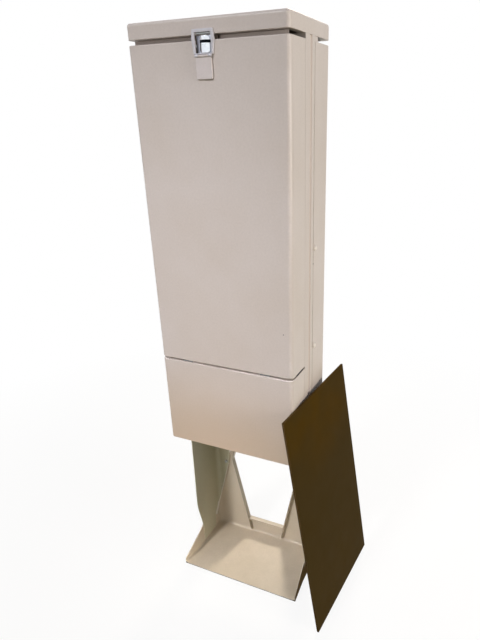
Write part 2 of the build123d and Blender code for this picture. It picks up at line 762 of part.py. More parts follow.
def lock_barrel():
    """A barrel with a crowned oblong head, slotted across and bored for the plug."""
    head_top = roof_bottom - LOCK_PLATE_TOP_GAP
    oblong = RectangleRounded(BARREL_HEAD_WIDTH, BARREL_HEAD_LENGTH, BARREL_HEAD_CORNER)
    head_face = Pos(0, head_top - BARREL_HEAD_LENGTH / 2) * oblong
    head = plate(head_face, Plane.XZ.offset(-plate_front), BARREL_HEAD_HEIGHT)
    mouth = plate_front - BARREL_HEAD_HEIGHT
    crown_axis = (0, mouth + BARREL_HEAD_CROWN, head_top)
    head = head & rod(crown_axis, (0, 0, -1), BARREL_HEAD_CROWN, BARREL_HEAD_LENGTH)
    head = fillet(head.faces().sort_by(Axis.Y)[0].edges(), BARREL_HEAD_ROUND)
    tail = rod((0, plate_front, lock_axis), (0, 1, 0), BARREL_RADIUS, LOCK_PLATE_SHEET + BARREL_TAIL)
    cup = rod((0, mouth - OVERRUN, lock_axis), (0, 1, 0), PLUG_RADIUS + RUNNING_FIT, plug_depth() + OVERRUN)
    bore_length = BARREL_HEAD_HEIGHT + LOCK_PLATE_SHEET + BARREL_TAIL + OVERRUN
    bore = rod((0, mouth, lock_axis), (0, 1, 0), PLUG_SHAFT_RADIUS + RUNNING_FIT, bore_length)
    slot = block(
        (-BARREL_HEAD_WIDTH, BARREL_HEAD_WIDTH),
        (mouth - OVERRUN, mouth + BARREL_SLOT_DEPTH),
        (lock_axis - BARREL_SLOT_WIDTH / 2, lock_axis + BARREL_SLOT_WIDTH / 2),
    )
    return head - slot + tail - cup - bore


def plug_depth():
    """How deep the barrel's head is bored for the plug's face disc."""
    return BARREL_HEAD_HEIGHT - PLUG_FLOOR


def lock_nut():
    """The round nut that holds the barrel to its bracket."""
    seat = (0, plate_back, lock_axis)
    ring = rod(seat, (0, 1, 0), LOCK_NUT_RADIUS, LOCK_NUT_HEIGHT)
    return ring - rod(seat, (0, 1, 0), BARREL_RADIUS + RUNNING_FIT, LOCK_NUT_HEIGHT)


def lock_plug():
    """The turning plug: a face with a keyway like the barrel's slot, a shaft and a square tang."""
    mouth = plate_front - BARREL_HEAD_HEIGHT
    face = mouth - PLUG_PROUD
    disc_end = mouth + plug_depth() - REST_GAP
    disc = rod((0, face, lock_axis), (0, 1, 0), PLUG_RADIUS, disc_end - face)
    disc = fillet(disc.edges().group_by(Axis.Y)[0], PLUG_EDGE_RADIUS)
    shaft = rod((0, disc_end, lock_axis), (0, 1, 0), PLUG_SHAFT_RADIUS, cam_front - disc_end)
    half_tang = PLUG_TANG / 2
    tang = block(
        (-half_tang, half_tang),
        (cam_front, cam_back),
        (lock_axis - half_tang, lock_axis + half_tang),
    )
    keyway = block(
        (-BARREL_HEAD_WIDTH, BARREL_HEAD_WIDTH),
        (face - OVERRUN, face + KEYWAY_DEPTH),
        (lock_axis - BARREL_SLOT_WIDTH / 2, lock_axis + BARREL_SLOT_WIDTH / 2),
    )
    hole = rod((0, cam_back, lock_axis), (0, -1, 0), CAM_SCREW_RADIUS, CAM_SCREW_DEPTH)
    return disc + shaft + tang - keyway - hole


def lock_cam():
    """The cam on the plug's tang, which turns up behind the roof's lip."""
    boss = rod((0, cam_front, lock_axis), (0, 1, 0), CAM_WIDTH / 2, CAM_SHEET)
    arm = block(
        (0, CAM_REACH),
        (cam_front, cam_back),
        (lock_axis - CAM_WIDTH / 2, lock_axis + CAM_WIDTH / 2),
    )
    tip = [edge for edge in arm.edges().filter_by(Axis.Y) if edge.center().X > 0]
    arm = fillet(tip, CAM_TIP_RADIUS)
    hole = PLUG_TANG / 2 + RUNNING_FIT
    socket = block(
        (-hole, hole),
        (cam_front - OVERRUN, cam_back + OVERRUN),
        (lock_axis - hole, lock_axis + hole),
    )
    return boss + arm - socket


def cam_screw():
    """The screw that keeps the cam on its tang."""
    seat = (0, cam_back, lock_axis)
    head = rod(seat, (0, 1, 0), CAM_SCREW_HEAD_RADIUS, CAM_SCREW_HEAD_HEIGHT)
    return head + rod(seat, (0, -1, 0), CAM_SCREW_RADIUS, CAM_SCREW_DEPTH)


def lock_keeper():
    """An angle on the roof's front lip, behind which the cam turns up."""
    floor = roof_bottom + SHEET
    points = [(door_inner_face, floor), (lip_edge, floor), (lip_edge, floor + KEEPER_RISE)]
    section = folded_section(points, KEEPER_SHEET)
    return plate(section, Plane.YZ.offset(-KEEPER_WIDTH / 2), KEEPER_WIDTH)


def lock_flap():
    """The weather flap, a rounded plate hanging from a knuckle on its pin."""
    top = flap_axis_z - KNUCKLE_RADIUS - 2 * FLAP_GAP
    bottom = flap_axis_z - FLAP_DROP
    leaf_back = flap_axis_y + FLAP_GAP + FLAP_THICKNESS
    leaf_face = Pos(0, (top + bottom) / 2) * RectangleRounded(FLAP_WIDTH, top - bottom, FLAP_CORNER)
    leaf = plate(leaf_face, Plane.XZ.offset(-leaf_back), FLAP_THICKNESS)
    leaf = fillet(leaf.edges().group_by(Axis.Y)[0], FLAP_EDGE_RADIUS)
    reach = KNUCKLE_LENGTH / 2
    neck = block((-reach, reach), (leaf_back - FLAP_THICKNESS, leaf_back), (top - FLAP_CORNER, flap_axis_z))
    axis = Vector(-reach, flap_axis_y, flap_axis_z)
    knuckle = rod(axis, (1, 0, 0), KNUCKLE_RADIUS, KNUCKLE_LENGTH)
    flap = fuse([leaf, neck, knuckle])
    bore_length = KNUCKLE_LENGTH + 2 * OVERRUN
    return flap - rod(axis - Vector(OVERRUN), (1, 0, 0), PIN_RADIUS + RUNNING_FIT, bore_length)


def flap_pin():
    """The pin through the housing's ears and the flap's knuckle."""
    reach = KNUCKLE_LENGTH / 2 + KNUCKLE_GAP + EAR_LENGTH
    return rod((-reach, flap_axis_y, flap_axis_z), (1, 0, 0), PIN_RADIUS, 2 * reach)


# Ground stand

def opening_half(height):
    """Half the width of the stand's rear opening at a height below its knee."""
    foot = stand_half - OPENING_FOOT_INSET
    return foot + (opening_reach - foot) * height / opening_knee


def stand_bolt_place():
    """Where the right leg's flange is bolted to the stand's back, on the flange's front."""
    return (stand_half - STAND_BOLT_INSET, leg_back - STAND_SHEET, STAND_BOLT_HEIGHT)


def stand_line():
    """The line that the foot's upright sheet follows: right cheek, back, left cheek."""
    right = [
        (stand_half + STAND_FLARE, -STAND_FRONT),
        (stand_half, -LEG_FRONT),
        (stand_half, STAND_BACK),
    ]
    return right + [(-x, y) for x, y in right[::-1]]


def stand_back_face():
    """The outline of the foot's back, which leaves an opening between two gussets."""
    tip = opening_reach - GUSSET_TIP_LEAN
    tip_height = STAND_BOLT_HEIGHT + GUSSET_TIP_RISE
    side = [
        (stand_half, 0),
        (stand_half, STAND_BOLT_HEIGHT - GUSSET_SIDE_DROP),
        (tip + GUSSET_TIP_WIDTH, tip_height),
        (tip, tip_height),
        (opening_reach, opening_knee),
        (opening_half(UPSTAND_HEIGHT), UPSTAND_HEIGHT),
    ]
    return outline(side + [(-x, z) for x, z in side[::-1]])


def stand_tray():
    """The foot's base with its upright sheet, bent up from it in rounded folds."""
    base_face = outline(stand_line())
    base_face = fillet(base_face.vertices().group_by(Axis.Y)[-1], outer_fold)
    wall_face = folded_section(stand_line(), STAND_SHEET)
    wall_face = fillet(wall_face.vertices().group_by(Axis.Y)[-1], outer_fold)
    wall_face = fillet(wall_face.vertices().group_by(Axis.Y)[-2], STAND_FOLD)
    walls = extrude(wall_face, STAND_BOLT_HEIGHT + GUSSET_TIP_RISE)
    back_room = plate(stand_back_face(), Plane.XZ.offset(-STAND_BACK), outer_fold)
    fold_start = STAND_BACK - outer_fold
    cheek_face = outline([
        (-STAND_FRONT, 0),
        (-STAND_FRONT, CHEEK_LIP),
        (-CHEEK_KNEE, CHEEK_HEIGHT),
        (fold_start, STAND_BOLT_HEIGHT - GUSSET_SIDE_DROP),
        (fold_start, 0),
    ])
    reach = stand_half + STAND_FLARE
    cheek_room = plate(cheek_face, Plane.YZ.offset(-reach), 2 * reach)
    tray = (walls & (back_room + cheek_room)) + extrude(base_face, STAND_SHEET)
    tray = tray.clean()
    fold_edges = [edge for edge in tray.edges() if along_foot(edge, STAND_SHEET)]
    tray = fillet(fold_edges, FOOT_FOLD)
    return tray


def along_foot(edge, height):
    """Whether an edge runs along the foot of the upright sheet's inner face at a height."""
    box = edge.bounding_box()
    level = abs(box.min.Z - height) + abs(box.max.Z - height) < REST_GAP
    return level and edge.length > FOOT_FOLD and edge.center().Y > -STAND_FRONT + FOOT_FOLD


def ground_stand():
    """The foot of the stand, folded from one sheet, with lips round its rear opening."""
    tray = stand_tray()
    x, y, z = stand_bolt_place()
    for place in ((x, y, z), (-x, y, z)):
        tray -= bolt_hole(place, (0, 1, 0), 2 * STAND_SHEET)
    tip = opening_reach - GUSSET_TIP_LEAN
    tip_height = STAND_BOLT_HEIGHT + GUSSET_TIP_RISE
    foot = STAND_SHEET + LIP_RELIEF
    lip_line = [(tip, tip_height), (opening_reach, opening_knee), (opening_half(foot), foot)]
    lip_plane = Plane.XZ.offset(STAND_SHEET - STAND_BACK)
    lip = plate(folded_section(lip_line, STAND_SHEET), lip_plane, LIP_DEPTH)
    hem_reach = opening_half(UPSTAND_HEIGHT) - STAND_SHEET
    hem_front = STAND_BACK - STAND_SHEET - UPSTAND_HEM
    hem = block(
        (-hem_reach, hem_reach),
        (hem_front, STAND_BACK),
        (UPSTAND_HEIGHT - STAND_SHEET, UPSTAND_HEIGHT),
    )
    turned_down = block(
        (-hem_reach, hem_reach),
        (hem_front, hem_front + STAND_SHEET),
        (UPSTAND_HEIGHT - UPSTAND_RETURN, UPSTAND_HEIGHT),
    )
    return fuse([tray, hem, turned_down] + both_sides(lip))


def leg():
    """The right leg, one folded sheet: a wall that rises into the post and a tapered rear flange."""
    foot = STAND_SHEET + FOOT_FOLD
    bend = leg_back - outer_fold
    tongue_front = post_front + POST_SHEET + LEG_TONGUE_GAP
    tongue_back = shell_front - POST_GAP - POST_SHEET - LEG_TONGUE_GAP
    heel = bend - LEG_HEEL_SETBACK
    wall_points = [
        (-CHEEK_KNEE, foot),
        (-CHEEK_KNEE, CHEEK_HEIGHT),
        (-LEG_FRONT, LEG_KNEE_RISE + CHEEK_HEIGHT),
        (tongue_front, LEG_TONGUE_TOP),
        (tongue_back, LEG_TONGUE_TOP),
        (tongue_back, LEG_SHOULDER),
        (bend, LEG_SHOULDER),
        (bend, LEG_HEEL_RISE),
        (heel, LEG_HEEL_RISE - LEG_HEEL_DROP),
        (heel, foot),
    ]
    wall_face = outline(wall_points)
    bends = [corner for corner in wall_face.vertices() if -LEG_FRONT <= corner.X <= -CHEEK_KNEE]
    bends = [corner for corner in bends if foot < corner.Y < LEG_SHOULDER]
    wall_face = fillet(bends, LEG_KNEE_RADIUS)
    wall = plate(wall_face, Plane.YZ.offset(ridge - STAND_SHEET), STAND_SHEET)
    flange_face = outline([
        (ridge, LEG_HEEL_RISE),
        (ridge - LEG_FLANGE_WIDTH, STAND_BOLT_HEIGHT),
        (ridge - LEG_FLANGE_TOP_WIDTH, LEG_SHOULDER),
        (ridge, LEG_SHOULDER),
    ])
    flange_room = plate(flange_face, Plane.XZ.offset(-leg_back), outer_fold)
    flange_line = [(ridge, heel), (ridge, leg_back), (ridge - LEG_FLANGE_TOP_WIDTH, leg_back)]
    flange_plan = folded_section(flange_line, STAND_SHEET)
    corner = (ridge, leg_back)
    flange_plan = fillet(flange_plan.vertices().sort_by_distance(corner)[0], outer_fold)
    corner = (ridge - STAND_SHEET, leg_back - STAND_SHEET)
    flange_plan = fillet(flange_plan.vertices().sort_by_distance(corner)[0], STAND_FOLD)
    flange = extrude(flange_plan, LEG_SHOULDER) & flange_room
    flange -= bolt_hole(stand_bolt_place(), (0, 1, 0), STAND_SHEET)
    for place in leg_bolt_places():
        wall -= bolt_hole(place, (-1, 0, 0), POST_SHEET + STAND_SHEET)
    return fuse([wall, flange])


def leg_bolt_places():
    """Where the right leg's tongue is bolted through the post, on the floor of its groove."""
    return [(half_width - GROOVE_DEPTH, groove_middle, height) for height in LEG_BOLT_HEIGHTS]


def leg_fasteners():
    """Bolts through the posts into the legs, with nuts inside."""
    grip = POST_SHEET + STAND_SHEET
    bolts, nuts = [], []
    for x, y, z in leg_bolt_places():
        bolts += both_sides(bolt((x, y, z), (-1, 0, 0), grip))
        nuts += both_sides(nut((x - grip, y, z), (-1, 0, 0)))
    return bolts, nuts


def stand_fasteners():
    """Bolts through the legs' flanges and the stand's back, with nuts behind."""
    x, y, z = stand_bolt_place()
    bolts = both_sides(bolt((x, y, z), (0, 1, 0), 2 * STAND_SHEET))
    nuts = both_sides(nut((x, y + 2 * STAND_SHEET, z), (0, 1, 0)))
    return bolts, nuts


def mounting_board():
    """The flat board, standing on the ground and leaning on the cabinet's front right corner."""
    turn, lean = radians(BOARD_TURN), radians(BOARD_LEAN)
    along = Vector(sin(turn), cos(turn))
    towards = Vector(-cos(turn), sin(turn))
    outward = Vector(0, 0, 1) * sin(lean) - towards * cos(lean)
    corner_x = half_width - CORNER_RADIUS
    corner_y = front + CORNER_RADIUS
    reach = CORNER_RADIUS + REST_GAP + BOARD_HEIGHT * sin(lean)
    foot_x = corner_x + (reach + (-BOARD_FRONT - corner_y) * sin(turn)) / cos(turn)
    plane = Plane(Vector(foot_x, -BOARD_FRONT), x_dir=along, z_dir=outward)
    face = Rectangle(BOARD_WIDTH, BOARD_HEIGHT, align=(Align.MIN, Align.MIN))
    return plate(face, plane, BOARD_THICKNESS)


def make_all():
    """Builds every piece and files it under its node name."""
    made["roof_cap"] = [roof_cap()]
    made["roof_bolts"], made["roof_nuts"] = roof_fasteners()
    made["rear_shell"] = [rear_shell()]
    made["rear_shell_screws"] = rear_shell_screws()
    right_post, left_post = both_sides(side_post())
    made["side_post_right"] = [right_post]
    made["side_post_left"] = [left_post]
    made["top_crossbar"] = [top_crossbar()]
    made["middle_crossbar"] = [middle_crossbar()]
    made["earth_bar"] = [earth_bar()]
    made["earth_spacers"], made["earth_screws"] = earth_fittings()
    made["cable_clamp_rail"] = [cable_clamp_rail()]
    made["rail_bolts"], made["rail_nuts"] = rail_fasteners()
    made["lower_panel"] = [lower_panel()]
    made["panel_brackets"] = panel_brackets()
    made["panel_screws"] = panel_screws()
    made["front_door"] = [front_door()]
    made["door_hooks"] = door_hooks()
    made["lock_housing"] = [lock_housing()]
    made["lock_bracket"] = [lock_bracket()]
    made["lock_bracket_nuts"] = lock_bracket_nuts()
    made["lock_screws"] = lock_screws()
    made["lock_barrel"] = [lock_barrel()]
    made["lock_nut"] = [lock_nut()]
    made["lock_plug"] = [lock_plug()]
    made["lock_cam"] = [lock_cam()]
    made["cam_screw"] = [cam_screw()]
    made["lock_keeper"] = [lock_keeper()]
    made["lock_flap"] = [lock_flap()]
    made["flap_pin"] = [flap_pin()]
    made["ground_stand"] = [ground_stand()]
    right_leg, left_leg = both_sides(leg())
    made["leg_right"] = [right_leg]
    made["leg_left"] = [left_leg]
    made["leg_bolts"], made["leg_nuts"] = leg_fasteners()
    made["stand_bolts"], made["stand_nuts"] = stand_fasteners()
    made["mounting_board"] = [mounting_board()]


make_all()
os.makedirs("parts", exist_ok=True)
for node, pieces in made.items():
    solids = [solid for piece in pieces for solid in piece.solids()]
    shape = solids[0] if len(solids) == 1 else Compound(solids)
    export_step(shape, f"parts/{node}.step")
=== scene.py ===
import logging
import math
from dataclasses import dataclass, field
from enum import Enum
from typing import Any, Mapping, Protocol, Sequence

import bpy
import numpy as np
from mathutils import Matrix, Vector


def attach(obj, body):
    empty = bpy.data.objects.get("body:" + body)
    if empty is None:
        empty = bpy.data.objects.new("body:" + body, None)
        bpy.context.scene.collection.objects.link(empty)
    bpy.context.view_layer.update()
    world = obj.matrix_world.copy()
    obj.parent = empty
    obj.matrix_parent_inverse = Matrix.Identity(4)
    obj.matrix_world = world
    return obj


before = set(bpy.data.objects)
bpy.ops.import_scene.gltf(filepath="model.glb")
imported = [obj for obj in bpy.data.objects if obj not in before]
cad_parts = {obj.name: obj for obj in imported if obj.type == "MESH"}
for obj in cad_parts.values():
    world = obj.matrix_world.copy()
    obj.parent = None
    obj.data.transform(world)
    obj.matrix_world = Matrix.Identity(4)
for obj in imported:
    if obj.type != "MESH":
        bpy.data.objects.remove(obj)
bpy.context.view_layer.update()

# Looks of an outdoor pump control cabinet on its ground stand.
# Sizes are millimetres in the CAD frame until a mesh, lamp or camera is made: MM turns them to metres.
MM = 0.001
LOG = logging.getLogger("cabinet")
Tree = bpy.types.NodeTree
Socket = bpy.types.NodeSocket


class Body(Enum):
    """The CAD body that the new pieces ride on."""

    CABINET = "cabinet"


class Slot(Enum):
    """Names of the record's material slots for the new pieces; this script does not use them."""

    CABINET_PAINT = "cabinet_paint"
    STAND_PAINT = "stand_paint"


class Finish(Protocol):
    """Anything that can make one Blender material."""

    name: str

    def material(self) -> bpy.types.Material:
        """Makes the material."""


def linear(code: str) -> tuple[float, float, float, float]:
    """Turns an sRGB hex value into a linear colour.

    Args:
        code: the colour as #RRGGBB.

    Returns:
        Red, green, blue and a full alpha.
    """
    shown = np.array([int(code[at:at + 2], 16) for at in (1, 3, 5)]) / 255
    light = np.where(shown <= 0.04045, shown / 12.92, ((shown + 0.055) / 1.055) ** 2.4)
    return float(light[0]), float(light[1]), float(light[2]), 1.0


def per_metre(size: float) -> float:
    """Scale of a pattern whose features have a real size in millimetres."""
    return 1.0 / (size * MM)


def add_node(
    tree: Tree,
    kind: str,
    settings: Mapping[str, Any] | None = None,
    inputs: Mapping[str | int, Any] | None = None,
) -> bpy.types.Node:
    """Adds a node with its settings and links.

    Args:
        tree: the tree it goes into.
        kind: Blender's node type, without its leading ShaderNode.
        settings: properties by name.
        inputs: constants or output sockets, by input name or number.

    Returns:
        The new node.
    """
    made = tree.nodes.new("ShaderNode" + kind)
    for name, value in (settings or {}).items():
        setattr(made, name, value)
    for key, value in (inputs or {}).items():
        if isinstance(value, Socket):
            tree.links.new(value, made.inputs[key])
        else:
            made.inputs[key].default_value = value
    return made


def new_material(name: str) -> tuple[bpy.types.Material, Tree, bpy.types.Node]:
    """Starts a material with an empty tree and an output.

    Args:
        name: the material's name.

    Returns:
        The material, its tree and its output node.
    """
    made = bpy.data.materials.new(name)
    made.use_nodes = True
    made.node_tree.nodes.clear()
    return made, made.node_tree, add_node(made.node_tree, "OutputMaterial")


def grid_object(name: str, points: np.ndarray, around: bool = False) -> bpy.types.Object:
    """Makes a smooth mesh object from a grid of points.

    Args:
        name: the object's name.
        points: millimetres, shape (rows, columns, 3).
        around: whether the last column joins the first, which also closes both ends.

    Returns:
        The object, at the origin, with its place in its mesh.
    """
    rows, columns = points.shape[:2]
    spans = columns if around else columns - 1
    row, column = np.meshgrid(np.arange(rows - 1), np.arange(spans), indexing="ij")
    after = (column + 1) % columns
    quads = np.stack([
        row * columns + column, row * columns + after,
        (row + 1) * columns + after, (row + 1) * columns + column,
    ], axis=-1).reshape(-1, 4)
    ends = [list(range(columns))[::-1], list(range((rows - 1) * columns, rows * columns))]
    mesh = bpy.data.meshes.new(name)
    mesh.from_pydata((points.reshape(-1, 3) * MM).tolist(), [], quads.tolist() + ends * around)
    # The space that the quads hold, seen from the middle, is negative where they face inwards.
    a, b, c, d = np.moveaxis((points - points.mean((0, 1))).reshape(-1, 3)[quads], 1, 0)
    if around and (a * (np.cross(b, c) + np.cross(c, d))).sum() < 0:
        mesh.flip_normals()
    mesh.polygons.foreach_set("use_smooth", np.ones(len(mesh.polygons), dtype=bool))
    made = bpy.data.objects.new(name, mesh)
    bpy.context.scene.collection.objects.link(made)
    LOG.info("made %s with %d faces", name, len(mesh.polygons))
    return made


@dataclass(frozen=True)
class FootShadeFilm:
    """Painted shade on the foot: a darker matt film outside the right cheek, where the board shades it,
    and a dark line on the front edge for its contact shadow.

    It lies where the sheet faces right or forwards, from a clear height down to a fully covered one.
    """

    # Painted shade: a darker matt film on the cheek where the board shades it, and a dark contact shadow
    # on the front edge.
    cheek_shade: str = "#A98A63"
    edge_shade: str = "#46382A"
    cheek: float = 150.0
    cheek_clear: float = 80.0
    cheek_full: float = 48.0
    edge_line: float = -100.0
    edge_clear: float = 6.0
    edge_full: float = 4.8
    turned: float = 0.6
    cover: float = 0.95
    edge_cover: float = 0.8
    dullness: float = 0.85
    clear_gloss: float = 0.5

    def cheek_share(self, tree: Tree, place: bpy.types.Node, normal: bpy.types.Node) -> Socket:
        """Gives how much of the coat the painted shade hides outside the right cheek.

        Args:
            tree: the coat's tree.
            place: the node that splits Object coordinates.
            normal: the node that splits the surface's normal.

        Returns:
            The socket with that share.
        """
        outward = add_node(tree, "Math", {"operation": "GREATER_THAN"}, {
            0: normal.outputs["X"], 1: self.turned,
        })
        beyond = add_node(tree, "Math", {"operation": "GREATER_THAN"}, {
            0: place.outputs["X"], 1: self.cheek * MM,
        })
        low = add_node(tree, "MapRange", {"interpolation_type": "SMOOTHSTEP"}, {
            "Value": place.outputs["Z"], 1: self.cheek_clear * MM, 2: self.cheek_full * MM,
            3: 0.0, 4: self.cover,
        })
        outside = add_node(tree, "Math", {"operation": "MULTIPLY"}, {
            0: outward.outputs[0], 1: beyond.outputs[0],
        })
        return add_node(tree, "Math", {"operation": "MULTIPLY"}, {
            0: outside.outputs[0], 1: low.outputs[0],
        }).outputs[0]

    def edge_share(self, tree: Tree, place: bpy.types.Node, normal: bpy.types.Node) -> Socket:
        """Gives how much of the coat the painted contact shadow hides on the foot's front edge.

        Args:
            tree: the coat's tree.
            place: the node that splits Object coordinates.
            normal: the node that splits the surface's normal.

        Returns:
            The socket with that share.
        """
        before = add_node(tree, "Math", {"operation": "LESS_THAN"}, {
            0: place.outputs["Y"], 1: self.edge_line * MM,
        })
        forward = add_node(tree, "Math", {"operation": "LESS_THAN"}, {
            0: normal.outputs["Y"], 1: -self.turned,
        })
        low = add_node(tree, "MapRange", inputs={
            "Value": place.outputs["Z"], 1: self.edge_clear * MM, 2: self.edge_full * MM,
            3: 0.0, 4: self.edge_cover,
        })
        edge = add_node(tree, "Math", {"operation": "MULTIPLY"}, {
            0: forward.outputs[0], 1: low.outputs[0],
        })
        return add_node(tree, "Math", {"operation": "MULTIPLY"}, {
            0: edge.outputs[0], 1: before.outputs[0],
        }).outputs[0]

    def over(
        self, tree: Tree, colour: Socket, shine: Socket, point: Socket, facing: Socket,
    ) -> dict[str, Socket]:
        """Lays the painted shade over a coat, whose shine goes under it as well as its colour.

        Args:
            tree: the coat's tree.
            colour: the coat's colour.
            shine: the coat's roughness.
            point: Object coordinates.
            facing: the surface's normal.

        Returns:
            The shader's inputs that the painted shade changes, by name.
        """
        place = add_node(tree, "SeparateXYZ", inputs={0: point})
        normal = add_node(tree, "SeparateXYZ", inputs={0: facing})
        cheek, edge = self.cheek_share(tree, place, normal), self.edge_share(tree, place, normal)
        filmed = add_node(tree, "Mix", {"data_type": "RGBA"}, {
            0: cheek, 6: colour, 7: linear(self.cheek_shade),
        })
        lined = add_node(tree, "Mix", {"data_type": "RGBA"}, {
            0: edge, 6: filmed.outputs[2], 7: linear(self.edge_shade),
        })
        shade_film_share = add_node(tree, "Math", {"operation": "MAXIMUM"}, {0: cheek, 1: edge})
        dull = add_node(tree, "MapRange", inputs={
            "Value": shade_film_share.outputs[0], 3: shine, 4: self.dullness,
        })
        gloss = add_node(tree, "MapRange", inputs={
            "Value": shade_film_share.outputs[0], 3: self.clear_gloss, 4: 0.0,
        })
        return {
            "Base Color": lined.outputs[2],
            "Roughness": dull.outputs[0],
            "Specular IOR Level": gloss.outputs[0],
        }


@dataclass(frozen=True)
class GrooveWall:
    """Painted light on the rear wall of the right post's upright groove: a paler colour that keeps the
    shaded wall from going dark.
    """

    paint: str = "#E0D4CF"
    middle: float = 5.9
    half_width: float = 0.9
    top: float = 1570.5

    def share(self, tree: Tree, point: Socket) -> Socket:
        """Gives 1 on that wall and 0 elsewhere.

        Args:
            tree: the coat's tree.
            point: Object coordinates.

        Returns:
            The socket with that share.
        """
        place = add_node(tree, "SeparateXYZ", inputs={0: point})
        within = add_node(tree, "Math", {"operation": "COMPARE"}, {
            0: place.outputs["Y"], 1: self.middle * MM, 2: self.half_width * MM,
        })
        below = add_node(tree, "Math", {"operation": "LESS_THAN"}, {
            0: place.outputs["Z"], 1: self.top * MM,
        })
        right = add_node(tree, "Math", {"operation": "GREATER_THAN"}, {0: place.outputs["X"], 1: 0.0})
        groove = add_node(tree, "Math", {"operation": "MULTIPLY"}, {
            0: within.outputs[0], 1: below.outputs[0],
        })
        return add_node(tree, "Math", {"operation": "MULTIPLY"}, {
            0: groove.outputs[0], 1: right.outputs[0],
        }).outputs[0]


